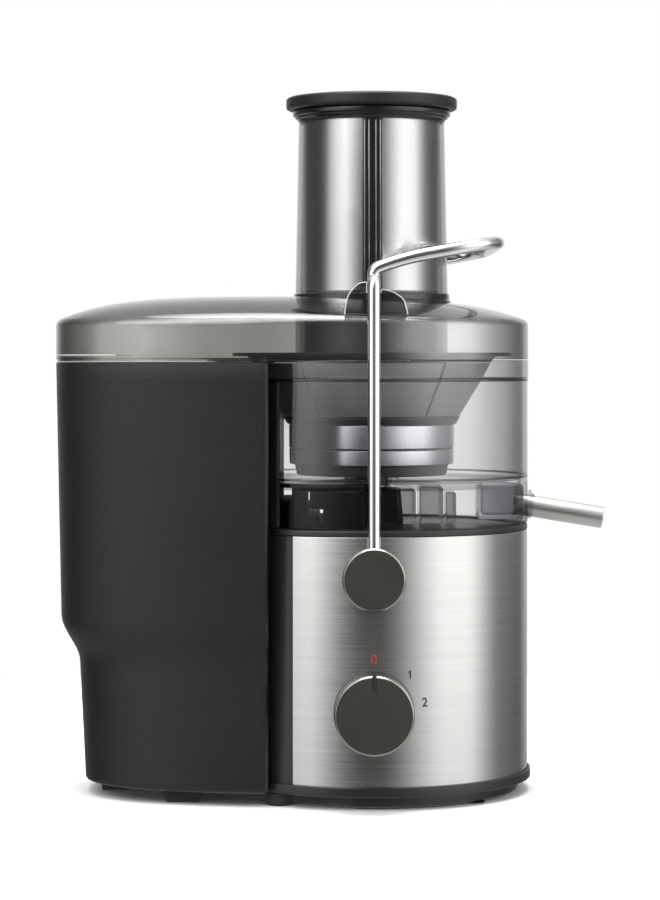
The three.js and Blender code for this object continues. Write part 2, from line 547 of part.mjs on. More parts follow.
function makeBasket() {
  const b = BASKET;
  add('basket_base', turned([[0, b.recessTop], [b.recess, b.recessTop], [b.recess, b.bottom],
    [b.baseRadius - b.edge, b.bottom], [b.baseRadius, b.bottom + b.edge], [b.baseRadius, b.bandBottom - GAP],
    [b.core, b.bandBottom - GAP], [b.core, b.bandTop], [0, b.bandTop]], MEDIUM), darkPlastic());
  const grooveRadius = b.band - b.grooveDepth;
  add('basket_band', ring([[b.core + GAP, b.bandBottom], [b.band, b.bandBottom], [b.band, b.groove - b.grooveHalf],
    [grooveRadius, b.groove - b.grooveHalf], [grooveRadius, b.groove + b.grooveHalf],
    [b.band, b.groove + b.grooveHalf], [b.band, b.bandTop], [b.core + GAP, b.bandTop]], MEDIUM), silver());
  add('basket_collar', washer(GRATER.radius + GAP, b.collar, GRATER.bottom, b.collarTop, MEDIUM), darkPlastic());
  const coneBottom = b.collarTop + GAP;
  add('filter_mesh', ring([[b.collar - b.skin, coneBottom], [b.collar, coneBottom], [b.coneMid, b.coneMidZ],
    [b.coneTop, b.coneTopZ], [b.coneTop - b.skin, b.coneTopZ], [b.coneMid - b.skin, b.coneMidZ]], ROUND),
  brushedSteel());
  const throat = b.coneTop - b.skin - 0.4;
  add('basket_rim', ring([[throat, b.coneTopZ + GAP], [b.coneTop, b.coneTopZ + GAP], [b.coneTop + 3, b.rimBottom],
    [b.rim, b.rimBottom], [b.rim, b.rimTop], [b.coneTop + 2, b.rimTop], [throat, b.coneTopZ + 2]], ROUND),
  darkPlastic());
  const { radius, bottom, top, tooth, toothRadius, sunk, rings, perRing } = GRATER;
  const teeth = rings.flatMap((circle, row) => Array.from({ length: perRing }, (_, i) => {
    const cone = new THREE.ConeGeometry(toothRadius, tooth + sunk, 4).rotateX(Math.PI / 2);
    return cone.translate(...polar(circle, (i + row / rings.length) * (360 / perRing)), top + (tooth - sunk) / 2);
  }));
  add('grater_disc', join(disc(radius, bottom, top, MEDIUM), ...teeth), polishedSteel());
}

// ---------------------------------------------------------------- pulp container

/** The container's full block inside a wall offset, before the body side is cut away. */
function binBlock(inset, bottom, top) {
  const heights = BIN.levels.map(([z]) => z);
  const segments = heights.length - 1;
  const outline = new THREE.Shape();
  for (let i = 0; i <= BIN.facets; i += 1) {
    const angle = Math.PI / 2 + (Math.PI * i) / BIN.facets;
    outline[i ? 'lineTo' : 'moveTo'](Math.cos(angle), Math.sin(angle));
  }
  const geometry = new THREE.ExtrudeGeometry(outline, { depth: segments, steps: segments, bevelEnabled: false });
  return reshape(closed(geometry), (point) => {
    const [z, reach, halfWidth] = BIN.levels[Math.round(point.z)];
    const angle = Math.atan2(point.y, point.x);
    const radius = outlineRadius(angle, reach - inset, halfWidth - inset, BIN.power);
    point.x = radius * Math.cos(angle);
    point.y = radius * Math.sin(angle);
    point.z = point.z < 0.5 ? bottom : point.z > segments - 0.5 ? top : z;
  });
}

function makeContainer() {
  const { edgeX, bodyRadius, wall, bottom, top, hollowFacets } = BIN;
  const bodySide = (inset) => [disc(bodyRadius + inset, 0, CLEAR, hollowFacets),
    block(edgeX - inset, CLEAR, -CLEAR, CLEAR, 0, CLEAR)];
  const outer = cut(binBlock(0, bottom, top), ...bodySide(0));
  const inner = cut(binBlock(wall, bottom + wall, top + 5), ...bodySide(wall));
  const heel = block(HEEL.x - HEEL.halfX, HEEL.x + HEEL.halfX, -HEEL.halfY, HEEL.halfY, 0, bottom + 1);
  add('pulp_container', cut(join(outer, heel), inner), grainedPlastic());
  for (const [name, side] of ends) {
    const { x, length, y, width, top: padTop, toeLeft, toeRight } = BIN_FOOT;
    const pad = new THREE.Shape();
    pad.moveTo(x - length / 2 + toeLeft, 0);
    pad.lineTo(x + length / 2 - toeRight, 0);
    pad.lineTo(x + length / 2, padTop);
    pad.lineTo(x - length / 2, padTop);
    const solid = raised(pad, -width / 2, width / 2).rotateX(Math.PI / 2).translate(0, side * y, 0);
    add(`container_pad_${name}`, solid, rubber());
  }
}

// ---------------------------------------------------------------- build

makeBase();
makeHousing();
makeDeck();
makeMotor();
makeRotor();
makeControls();
makeArm();
makeBowl();
makeLid();
makeFeed();
makeBasket();
makeContainer();

const extent = new THREE.Box3().setFromObject(juicer);
const centre = extent.getCenter(new THREE.Vector3());
juicer.position.set(-centre.x, -centre.y, -extent.min.z);

export default juicer;
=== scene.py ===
"""Looks of a wide-feed centrifugal juicer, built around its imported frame.

Pieces are modelled on the bench: millimetres, with the motor axis at x = y = 0 and the worktop at z = 0.
piece() then takes each one to metres and to its place in the frame.
"""
import json
from math import atan2, ceil, cos, hypot, pi, radians, sin, tau

import bmesh
import bpy
from mathutils import Matrix, Vector


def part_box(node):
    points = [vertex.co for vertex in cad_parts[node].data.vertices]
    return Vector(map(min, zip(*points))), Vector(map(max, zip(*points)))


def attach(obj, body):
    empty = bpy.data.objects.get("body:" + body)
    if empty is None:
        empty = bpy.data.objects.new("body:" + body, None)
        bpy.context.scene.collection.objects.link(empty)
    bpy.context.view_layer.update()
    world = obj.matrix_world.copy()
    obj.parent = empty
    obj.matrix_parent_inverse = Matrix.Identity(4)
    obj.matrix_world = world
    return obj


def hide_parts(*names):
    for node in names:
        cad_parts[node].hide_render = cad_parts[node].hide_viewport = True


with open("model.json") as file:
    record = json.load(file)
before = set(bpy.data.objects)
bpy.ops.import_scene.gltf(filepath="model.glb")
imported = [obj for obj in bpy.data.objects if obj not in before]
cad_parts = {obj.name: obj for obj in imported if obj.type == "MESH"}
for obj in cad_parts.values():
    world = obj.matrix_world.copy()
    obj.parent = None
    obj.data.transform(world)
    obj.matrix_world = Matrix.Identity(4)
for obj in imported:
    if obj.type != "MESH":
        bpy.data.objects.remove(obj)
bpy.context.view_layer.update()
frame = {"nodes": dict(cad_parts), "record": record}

# ------------------------------------------------------------------ measures

MM = 0.001
SHAFT_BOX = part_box("motor_shaft")
AXIS = Vector(((SHAFT_BOX[0].x + SHAFT_BOX[1].x) / 2, (SHAFT_BOX[0].y + SHAFT_BOX[1].y) / 2, 0))
TO_FRAME = Matrix.Translation(AXIS) @ Matrix.Scale(MM, 4)
SLOT_OF = {part["node"]: part["material_slot"] for part in frame["record"]["subparts"]}
FRONT, BACK = -1, 1
ENDS = (("front", FRONT), ("back", BACK))


def low(node):
    """A node's lowest corner on the bench."""
    return (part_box(node)[0] - AXIS) / MM


def high(node):
    """A node's highest corner on the bench."""
    return (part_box(node)[1] - AXIS) / MM


BODY_RADIUS = high("steel_wrap").x
WRAP_TOP = high("steel_wrap").z
WRAP_EDGE = 119.7  # degrees from the spout to where the steel sheet ends
BASE_RADIUS = high("base_plate").x
BASE_BOTTOM = low("base_plate").z
BASE_LIP = 13.2
BOWL_RADIUS = 91.8
BAND_RADIUS = high("juice_bowl").x
BOWL_BOTTOM, BOWL_TOP = low("juice_bowl").z, high("juice_bowl").z
BOWL_WALL = 2.8
BOWL_FLOOR = 181
BAND_BOTTOM = 241.4
DECK_TOP = 156.4
SHAFT_HOLE = 8.5
WELL_BOTTOM, WELL_HALF = 161, 14.5
SIDE_BAR = (126.3, 130.4)  # degrees from the spout
RIBS = (((7, 11), 20, 12), ((14, 25), 18, 40), ((28, 41), 19.5, 34), ((43.5, 49), 16, 22))  # x, height, half depth
SPOUT_SLOPE = 0.162
SPOUT_START = Vector((84, 0, 167.3))
LID_RADIUS = 92.2
LID_REACH = -low("lid").x
LID_BOTTOM = low("lid").z
LID_WALL = 2.5
LID_CORNER = 2.8
LID_EDGE = 274.6
LID_POWER = 2.8
TUBE_TOP = high("feed_tube").z
TUBE_BOTTOM = low("feed_tube").z
TUBE_RADIUS = 44.9
TUBE_NECK = 42.9
GUIDE_HALF, GUIDE_DEPTH = 5.4, 1.4  # the groove down the sleeve, front and back
SLEEVE_RADIUS = high("pusher_sleeve").x
CAP_BOTTOM, CAP_TOP = low("pusher_cap").z, high("pusher_cap").z
CAP_RADIUS = high("pusher_cap").x
PIVOT_HEIGHT = (low("arm_cap_front").z + high("arm_cap_front").z) / 2
KNOB_HEIGHT = (low("speed_knob").z + high("speed_knob").z) / 2
KNOB_RADIUS = high("speed_knob").x
ROD_RADIUS = 3.6
ARM_LEG, ARM_LOOP = 98, 88.5  # how far the arm's legs and its loop stand from the middle, front and back
ARM_TOP = 296
CAP_DISC_RADIUS = 17.7
DIGIT_HEIGHT = 7
DIAL_MARKS = (("0", 0, 29), ("1", 45, 29), ("2", 81, 29.4))  # digit, degrees from upright, distance from the centre
ONE = ((-0.38, -2.3), (0.38, -2.3), (0.38, 2.3), (-0.15, 2.3), (-1.3, 1.5), (-1.3, 0.9), (-0.38, 1.35))
BIN_EDGE = high("pulp_container").x
BIN_BOTTOM, BIN_TOP = 7.6, high("pulp_container").z
BIN_WALL = 2.5

# ------------------------------------------------------------------ mesh tools

ARC = 5


def rounded(points):
    """A closed outline; a corner with a third number is eased by that distance."""
    path = []
    for i, point in enumerate(points):
        here = Vector(point[:2])
        if len(point) < 3:
            path.append(here)
            continue
        before, after = Vector(points[i - 1][:2]), Vector(points[(i + 1) % len(points)][:2])
        start = here + (before - here).normalized() * point[2]
        end = here + (after - here).normalized() * point[2]
        for k in range(ARC + 1):
            share = k / ARC
            path.append(start.lerp(here, share).lerp(here.lerp(end, share), share))
    return path


def clean(bm):
    """Merges doubles and points every face outwards."""
    bmesh.ops.remove_doubles(bm, verts=bm.verts, dist=1e-3)
    bmesh.ops.dissolve_degenerate(bm, edges=bm.edges, dist=1e-4)
    bmesh.ops.recalc_face_normals(bm, faces=bm.faces)
    return bm


def turned(points, steps=128):
    """A closed outline of (radius, height) points turned right round the vertical axis."""
    bm = bmesh.new()
    verts = [bm.verts.new((point[0], 0, point[1])) for point in rounded(points)]
    edges = [bm.edges.new(pair) for pair in zip(verts, verts[1:] + verts[:1]) if pair[0].co.x + pair[1].co.x > 1e-6]
    bmesh.ops.spin(bm, geom=verts + edges, cent=(0, 0, 0), axis=(0, 0, 1), angle=tau, steps=steps, use_merge=True)
    return clean(bm)


def swept(points, start, end, steps=96):
    """A closed outline of (radius, height) points swept between two angles, in degrees from the spout."""
    bm = bmesh.new()
    verts = [bm.verts.new((point[0], 0, point[1])) for point in rounded(points)]
    face = bm.faces.new(verts)
    bmesh.ops.rotate(bm, verts=verts, cent=(0, 0, 0), matrix=Matrix.Rotation(radians(start), 3, "Z"))
    geom = verts + list(bm.edges) + [face]
    bmesh.ops.spin(bm, geom=geom, cent=(0, 0, 0), axis=(0, 0, 1), angle=radians(end - start), steps=steps)
    return clean(bm)


def loft(rings, endless=False):
    """A skin over rings that have equal numbers of points; endless joins the last ring to the first."""
    bm = bmesh.new()
    loops = []
    for ring in rings:
        verts = [bm.verts.new(point) for point in ring]
        loops.append([bm.edges.new(pair) for pair in zip(verts, verts[1:] + verts[:1])])
    pairs = list(zip(loops, loops[1:]))
    if endless:
        pairs.append((loops[-1], loops[0]))
    for lower, upper in pairs:
        bmesh.ops.bridge_loops(bm, edges=lower + upper)
    if not endless:
        bmesh.ops.contextual_create(bm, geom=loops[0])
        bmesh.ops.contextual_create(bm, geom=loops[-1])
    bmesh.ops.recalc_face_normals(bm, faces=bm.faces)
    return bm


def slab(outline, bottom, top, bevel=0.0):
    """A flat outline of (x, y) points raised from one height to another, with eased edges."""
    bm = bmesh.new()
    face = bm.faces.new([bm.verts.new((point[0], point[1], bottom)) for point in rounded(outline)])
    raised = bmesh.ops.extrude_face_region(bm, geom=[face])["geom"]
    upper = [part for part in raised if isinstance(part, bmesh.types.BMVert)]
    bmesh.ops.translate(bm, verts=upper, vec=(0, 0, top - bottom))
    bmesh.ops.recalc_face_normals(bm, faces=bm.faces)
    if bevel:
        rims = [edge for edge in bm.edges if abs(edge.verts[0].co.z - edge.verts[1].co.z) < 1e-6]
        bevel_edges(bm, rims, bevel)
    return bm


def bevel_edges(bm, edges, width, segments=3):
    bmesh.ops.bevel(bm, geom=edges, offset=width, segments=segments, profile=0.5, affect="EDGES", material=-1)
    return bm


def block(x, y, z, bevel=0.4, segments=2):
    """A box between pairs of x, y and z, with eased edges."""
    bm = bmesh.new()
    size = Matrix.Diagonal((x[1] - x[0], y[1] - y[0], z[1] - z[0], 1))
    middle = Matrix.Translation(((x[0] + x[1]) / 2, (y[0] + y[1]) / 2, (z[0] + z[1]) / 2))
    bmesh.ops.create_cube(bm, size=1, matrix=middle @ size)
    return bevel_edges(bm, list(bm.edges), bevel, segments) if bevel else bm


def moved(bm, *matrices):
    for matrix in matrices:
        bm.transform(matrix)
    return bm


def facing(bm, side, height):
    """Turns a piece made along +Z to face the front or the back, at a height."""
    turn = Matrix.Rotation(radians(-90 * side), 4, "X")
    return moved(bm, turn, Matrix.Translation((0, 0, height)))


def along_spout(bm):
    turn = Matrix.Rotation(pi / 2 + atan2(SPOUT_SLOPE, 1), 4, "Y")
    return moved(bm, turn, Matrix.Translation(SPOUT_START))


def together(*parts):
    """Several meshes gathered in one."""
    whole = bmesh.new()
    for part in parts:
        mesh = bpy.data.meshes.new("part")
        part.to_mesh(mesh)
        part.free()
        whole.from_mesh(mesh)
        bpy.data.meshes.remove(mesh)
    return whole


def carved(bm, *tools):
    """bm with each tool cut away."""
    objects = []
    for i, source in enumerate((bm, *tools)):
        mesh = bpy.data.meshes.new("blank")
        source.to_mesh(mesh)
        source.free()
        blank = bpy.data.objects.new(f"blank_{i}", mesh)
        bpy.context.scene.collection.objects.link(blank)
        objects.append(blank)
    for tool in objects[1:]:
        modifier = objects[0].modifiers.new("cut", "BOOLEAN")
        modifier.object, modifier.operation, modifier.solver = tool, "DIFFERENCE", "EXACT"
    bpy.context.view_layer.update()
    result = bmesh.new()
    shaped = objects[0].evaluated_get(bpy.context.evaluated_depsgraph_get()).to_mesh()
    result.from_mesh(shaped)
    for blank in objects:
        mesh = blank.data
        bpy.data.objects.remove(blank)
        bpy.data.meshes.remove(mesh)
    return result


def piece(name, bm, material, body, stands_for=(), crease=32):
    """Finishes a bench mesh as a piece of the object that rides on a body."""
    bm.transform(TO_FRAME)
    mesh = bpy.data.meshes.new(name)
    bm.to_mesh(mesh)
    bm.free()
    mesh.polygons.foreach_set("use_smooth", [True] * len(mesh.polygons))
    mesh.set_sharp_from_angle(angle=radians(crease))
    mesh.materials.append(material)
    obj = bpy.data.objects.new(name, mesh)
    bpy.context.scene.collection.objects.link(obj)
    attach(obj, body)
    if stands_for:
        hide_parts(*stands_for)
    return obj


# ------------------------------------------------------------------ outlines


def outline_radius(angle, reach, half_width):
    """Radius of the long rounded plan that reaches to the left, at an angle about the motor axis."""
    leftwards = cos(angle) < 0
    along = abs(cos(angle)) / (reach if leftwards else half_width)
    across = abs(sin(angle)) / half_width
    bend = LID_POWER if leftwards else 2
    return (along**bend + across**bend) ** (-1 / bend)


def plan_point(turn, reach, half_width):
    """A point of that plan, spread evenly as turn goes from 0 to tau."""
    side, rise = cos(turn), sin(turn)
    if side >= 0:
        return Vector((half_width * side, half_width * rise))
    bend = 2 / LID_POWER
    return Vector((-reach * abs(side) ** bend, half_width * (abs(rise) ** bend) * (1 if rise > 0 else -1)))


def evenly(points, count):
    """count points at equal steps along a closed line of points."""
    lengths = [0]
    for before, after in zip(points, points[1:] + points[:1]):
        lengths.append(lengths[-1] + (after - before).length)
    spread, index = [], 0
    for k in range(count):
        target = lengths[-1] * k / count
        while lengths[index + 1] < target:
            index += 1
        share = (target - lengths[index]) / max(lengths[index + 1] - lengths[index], 1e-9)
        spread.append(points[index].lerp(points[(index + 1) % len(points)], share))
    return spread


def smooth_path(corners, step=1.2):
    """Points along straight runs between corners, each (point, bend distance)."""
    path = [corners[0][0]]
    for i in range(1, len(corners) - 1):
        at, bend = corners[i]
        start = at + (corners[i - 1][0] - at).normalized() * bend
        end = at + (corners[i + 1][0] - at).normalized() * bend
        bends = max(6, ceil(bend / step))
        for k in range(bends + 1):
            share = k / bends
            path.append(start.lerp(at, share).lerp(at.lerp(end, share), share))
    path.append(corners[-1][0])
    return path


def rod(path, radius, sides=20):
    """A round rod along a path, with its section carried round the bends without twist."""
    rings = []
    forward = (path[1] - path[0]).normalized()
    across = forward.orthogonal().normalized()
    for i, point in enumerate(path):
        ahead = (path[min(i + 1, len(path) - 1)] - path[max(i - 1, 0)]).normalized()
        across = (across - ahead * across.dot(ahead)).normalized()
        upright = ahead.cross(across)
        rings.append([point + (across * cos(tau * k / sides) + upright * sin(tau * k / sides)) * radius
                      for k in range(sides)])
    return loft(rings)


# ------------------------------------------------------------------ materials


class Nodes:
    """A short way to add and join shader nodes, in a new material or in the studio's world."""

    def __init__(self, name, world=None):
        self.material = world or bpy.data.materials.new(name)
        self.material.use_nodes = True
        self.tree = self.material.node_tree
        self.shader = self.tree.nodes.get("Principled BSDF")

    def add(self, kind, inputs=None, **settings):
        node = self.tree.nodes.new(kind)
        for key, value in settings.items():
            setattr(node, key, value)
        for key, value in (inputs or {}).items():
            self.put(node.inputs[key], value)
        return node

    def put(self, socket, value):
        if isinstance(value, bpy.types.NodeSocket):
            self.tree.links.new(value, socket)
        else:
            socket.default_value = value

    def set(self, **values):
        for key, value in values.items():
            self.put(self.shader.inputs[key.replace("_", " ").title().replace("Ior", "IOR")], value)

    def space(self, stretch=(1, 1, 1)):
        """Object coordinates about the motor axis, stretched along each direction."""
        source = self.add("ShaderNodeTexCoord").outputs["Object"]
        place = tuple(-AXIS[i] * stretch[i] for i in range(3))
        return self.add("ShaderNodeMapping", {"Vector": source, "Location": place, "Scale": stretch}).outputs[0]

    def math(self, operation, first, second=0.0):
        return self.add("ShaderNodeMath", {0: first, 1: second}, operation=operation).outputs[0]

    def noise(self, vector, scale, detail=3.0, roughness=0.5):
        inputs = {"Vector": vector, "Scale": scale, "Detail": detail, "Roughness": roughness}
        return self.add("ShaderNodeTexNoise", inputs).outputs["Fac"]

    def spread(self, value, lowest, highest, start=0.3, end=0.7):
        inputs = {0: value, 1: start, 2: end, 3: lowest, 4: highest}
        return self.add("ShaderNodeMapRange", inputs).outputs[0]

    def blend(self, share, first, second, **settings):
        node = self.add("ShaderNodeMix", data_type="RGBA", **settings)
        for socket, value in zip((node.inputs[0], node.inputs[6], node.inputs[7]), (share, first, second)):
            self.put(socket, value)
        return node.outputs[2]

    def bump(self, height, strength, distance):
        inputs = {"Height": height, "Strength": strength, "Distance": distance}
        return self.add("ShaderNodeBump", inputs).outputs[0]


def shade(colour, amount):
    """A colour made lighter or darker by a share."""
    return tuple(min(1, channel * (1 + amount)) for channel in colour[:3]) + (1,)


def moulded(name, colour, roughness, grain=900, bump=0.15, depth=0.0002, mottle=0.12, **fixed):
    """Injection-moulded plastic: spark grain, faint flow mottling and rubbed patches."""
    n = Nodes(name)
    space = n.space()
    spark = n.noise(space, grain, 2)
    cloud = n.noise(space, 14, 4, 0.6)
    n.set(base_color=n.blend(cloud, shade(colour, -mottle), shade(colour, mottle)),
          roughness=n.spread(cloud, roughness - 0.05, roughness + 0.06),
          normal=n.bump(spark, bump, depth), **fixed)
    return n.material


def brushed(name, colour, roughness, stretch, turning=True, bump=0.12, anisotropy=0.6, shift=0.1):
    """Brushed metal: fine scratches along one direction, with slow streaks of tone."""
    n = Nodes(name)
    fine = n.noise(n.space(stretch), 1, 3, 0.65)
    slow = n.noise(n.space(tuple(value * 0.12 for value in stretch)), 1, 2)
    smudge = n.noise(n.space(), 22, 3)
    tone = n.blend(fine, shade(colour, -shift), shade(colour, shift))
    streaked = n.blend(n.spread(slow, 0, 0.35), tone, shade(colour, -0.16))
    n.set(base_color=streaked, metallic=1.0, anisotropic=anisotropy,
          roughness=n.math("ADD", n.spread(fine, roughness - 0.05, roughness + 0.07), n.spread(smudge, 0, 0.04)),
          normal=n.bump(fine, bump, 0.00006))
    if turning:
        n.set(tangent=n.add("ShaderNodeTangent", direction_type="RADIAL", axis="Z").outputs[0],
              anisotropic_rotation=0.25)
    return n.material


def polished(name, colour=(0.78, 0.78, 0.77), roughness=0.09, drawn=(180, 180, 12)):
    """Polished metal with faint draw lines and handling haze."""
    n = Nodes(name)
    lines = n.noise(n.space(drawn), 1, 2)
    haze = n.noise(n.space(), 35, 3)
    n.set(base_color=n.blend(haze, shade(colour, -0.05), shade(colour, 0.04)), metallic=1.0,
          roughness=n.math("ADD", n.spread(haze, roughness - 0.03, roughness + 0.05), n.spread(lines, 0, 0.03)),
          normal=n.bump(lines, 0.03, 0.00005))
    return n.material


def see_through(name, tint, rim, shine=1.0, smoke=None, dull_below=None):
    """Clear moulded plastic, darker where the wall is seen edge-on; smoke is a deeper tint over the left side.

    Below the height dull_below the wall is etched and shines less.
    """
    n = Nodes(name)
    space = n.space()
    ripple = n.noise(space, 40, 2)
    smear = n.noise(space, 9, 4, 0.6)
    edge_on = n.add("ShaderNodeLayerWeight", {"Blend": 0.5}).outputs["Facing"]
    rims = n.math("POWER", edge_on, 1.6)
    body = shade(tint, 0)
    if smoke:
        leftwards = n.add("ShaderNodeSeparateXYZ", {0: space}).outputs[0]
        body = n.blend(n.spread(leftwards, 1, 0, -0.06, 0.03), body, shade(smoke, 0))
    colour = n.blend(rims, body, shade(rim, 0))
    clouded = n.blend(n.spread(smear, 0, 0.12), colour, shade(tint, -0.12))
    clear = n.add("ShaderNodeBsdfTransparent", {"Color": clouded}).outputs[0]
    bump = n.bump(ripple, 0.02, 0.0004)
    n.set(base_color=n.blend(smear, (0.9, 0.9, 0.9, 1), (0.98, 0.98, 0.98, 1)), metallic=1.0,
          roughness=n.spread(smear, 0.04, 0.09), normal=bump)
    straight = 0.04 * shine
    share = n.math("ADD", n.math("MULTIPLY", n.math("POWER", edge_on, 5), 1 - straight), straight)
    if dull_below:
        height = n.add("ShaderNodeSeparateXYZ", {0: space}).outputs[2]
        share = n.math("MULTIPLY", share, n.spread(height, 0.2, 1, dull_below - 0.002, dull_below + 0.002))
    mixed = n.add("ShaderNodeMixShader", {0: share, 1: clear, 2: n.shader.outputs[0]})
    n.put(n.tree.nodes["Material Output"].inputs["Surface"], mixed.outputs[0])
    return n.material


def mesh_steel():
    """Etched filter sheet: rows of fine holes between plain seams, the holes coloured near-black as painted shade for
    the dim inside seen through them.
    """
    n = Nodes("etched_filter_steel")
    parts = n.add("ShaderNodeSeparateXYZ", {0: n.space()})
    angle = n.math("ARCTAN2", parts.outputs[1], parts.outputs[0])
    across, up = n.math("MULTIPLY", angle, 62), n.math("MULTIPLY", parts.outputs[2], 1000)
    grid = n.add("ShaderNodeCombineXYZ", {0: across, 1: up}).outputs[0]
    cells = n.add("ShaderNodeTexVoronoi", {"Vector": grid, "Scale": 1.0, "Randomness": 0.0}).outputs["Distance"]
    hole = n.spread(cells, 1, 0, 0.24, 0.32)
    wear = n.noise(n.space(), 60, 3)
    metal = n.blend(wear, (0.36, 0.36, 0.35, 1), (0.48, 0.48, 0.46, 1))
    # The hole mask paints the holes near-black (painted shade seen through them) and also dents them in
    n.set(base_color=n.blend(hole, metal, (0.1, 0.1, 0.1, 1)), metallic=0.85,
          roughness=n.spread(wear, 0.3, 0.42), normal=n.bump(n.math("SUBTRACT", 1.0, hole), 0.5, 0.0003))
    return n.material


def layered_iron():
    """Stacked laminations: thin level lines with a blued tint."""
    n = Nodes("stacked_laminations")
    levels = n.add("ShaderNodeTexWave", {"Vector": n.space(), "Scale": 320.0, "Distortion": 0.4},
                   bands_direction="Z").outputs["Fac"]
    rust = n.noise(n.space(), 60, 4)
    n.set(base_color=n.blend(rust, (0.10, 0.105, 0.12, 1), (0.17, 0.165, 0.17, 1)), metallic=0.7,
          roughness=n.spread(rust, 0.42, 0.6), normal=n.bump(levels, 0.5, 0.0002))
    return n.material


def wound_copper():
    """Enamelled wire laid in turns, painted darker between the turns as painted shade and lighter on their crowns as
    painted highlight.
    """
    n = Nodes("enamelled_winding")
    turns = n.add("ShaderNodeTexWave", {"Vector": n.space(), "Scale": 260.0, "Distortion": 2.5, "Detail": 1.0},
                  bands_direction="DIAGONAL").outputs["Fac"]
    # Dark copper in the creases and bright copper on the crowns, following the turns: painted shade and painted
    # highlight
    n.set(base_color=n.blend(turns, (0.22, 0.07, 0.025, 1), (0.62, 0.26, 0.11, 1)), metallic=0.8,
          roughness=n.spread(turns, 0.28, 0.45), normal=n.bump(turns, 0.7, 0.0004))
    return n.material


GRAINED = moulded("grained_charcoal", (0.0052, 0.0052, 0.0054), 0.38, grain=1700, bump=0.55, depth=0.0005,
                  specular_ior_level=0.46)
DEEP_BLACK = moulded("deep_black_plastic", (0.004, 0.004, 0.0042), 0.5, grain=900, bump=0.1, specular_ior_level=0.15)
SATIN_BLACK = moulded("satin_black_plastic", (0.012, 0.012, 0.013), 0.36, grain=1100, bump=0.12)
CAP_BLACK = moulded("matte_black_cap", (0.011, 0.0115, 0.012), 0.42, grain=1500, bump=0.3, specular_ior_level=0.4)
GLOSS_BLACK = moulded("gloss_black_plastic", (0.006, 0.006, 0.0065), 0.16, grain=900, bump=0.04)
# Light grey plastic laid along edges: painted highlight for bevelled and recessed edges catching the light
PAINTED_EDGE_HIGHLIGHT = moulded("painted_edge_highlight", (0.62, 0.62, 0.61), 0.25, grain=900, bump=0.05)
GREY_PLASTIC = moulded("grey_pusher_plastic", (0.16, 0.16, 0.165), 0.38)
RUBBER = moulded("foot_rubber", (0.014, 0.014, 0.014), 0.75, grain=500, bump=0.5, depth=0.0005, mottle=0.3)
SATIN_FACE = moulded("satin_grey_face", (0.056, 0.053, 0.047), 0.34, grain=700, bump=0.1, metallic=0.55)
NYLON = moulded("white_nylon", (0.66, 0.65, 0.60), 0.45)
CARBON = moulded("pressed_carbon", (0.02, 0.02, 0.022), 0.7, grain=800, bump=0.5)
BOARD = moulded("circuit_board", (0.02, 0.12, 0.05), 0.35, grain=300)
RED_CASE = moulded("red_switch_case", (0.30, 0.03, 0.02), 0.35)
WRAP_STEEL = brushed("steel_brushed_round", (0.52, 0.515, 0.505), 0.23, (14, 14, 2600), anisotropy=0.6, bump=0.08)
SLEEVE_STEEL = brushed("steel_sleeve", (0.60, 0.60, 0.605), 0.15, (60, 60, 4), bump=0.02, anisotropy=0.2)
CAST = brushed("die_cast_aluminium", (0.42, 0.43, 0.44), 0.45, (400, 400, 400), turning=False)
BRASS = brushed("pressed_brass", (0.55, 0.38, 0.13), 0.3, (300, 300, 40), turning=False)
POLISHED = polished("polished_rod_steel")
SILVER = polished("satin_silver_ring", (0.64, 0.65, 0.68), 0.22, drawn=(40, 40, 90))
BRIGHT_EDGE = polished("turned_bright_edge", (0.40, 0.39, 0.37), 0.24)
SPOUT_STEEL = brushed("drawn_spout_steel", (0.60, 0.595, 0.575), 0.3, (9, 300, 300), turning=False, bump=0.02,
                      anisotropy=0, shift=0.04)
BOWL_CLEAR = see_through("clear_bowl_plastic", (0.95, 0.95, 0.955), (0.5, 0.5, 0.51), shine=1.5,
                         dull_below=BOWL_FLOOR * MM)
TUBE_CLEAR = see_through("clear_tube_plastic", (0.95, 0.95, 0.952), (0.45, 0.45, 0.46), shine=1.2)
SMOKED = see_through("smoked_lid_plastic", (0.93, 0.93, 0.925), (0.3, 0.3, 0.295), shine=2.5,
                     smoke=(0.74, 0.735, 0.72))
LUG_CLEAR = see_through("lug_plastic", (0.5, 0.5, 0.5), (0.12, 0.12, 0.12), shine=1.2)
SUMP_GREY = see_through("grey_sump_plastic", (0.8, 0.8, 0.81), (0.3, 0.3, 0.31))
SMOKED_DARK = see_through("smoked_lug_plastic", (0.55, 0.55, 0.55), (0.14, 0.14, 0.14))
FILTER = mesh_steel()
IRON = layered_iron()
COPPER = wound_copper()
INK_RED = moulded("red_dial_ink", (0.42, 0.035, 0.02), 0.5)
INK_BLACK = moulded("black_dial_ink", (0.015, 0.015, 0.015), 0.5)

SLOT_FINISH = {
    "black_plastic": SATIN_BLACK, "grained_plastic": GRAINED, "grey_plastic": GREY_PLASTIC, "smoked_clear": SMOKED,
    "clear_plastic": BOWL_CLEAR, "brushed_steel": WRAP_STEEL, "polished_steel": POLISHED, "grey_satin": SATIN_FACE,
    "silver_ring": SILVER, "rubber": RUBBER, "cast_aluminium": CAST, "laminated_iron": IRON, "copper": COPPER,
    "brass": BRASS, "carbon": CARBON, "white_nylon": NYLON, "board": BOARD, "red_plastic": RED_CASE,
}

# ------------------------------------------------------------------ base and housing


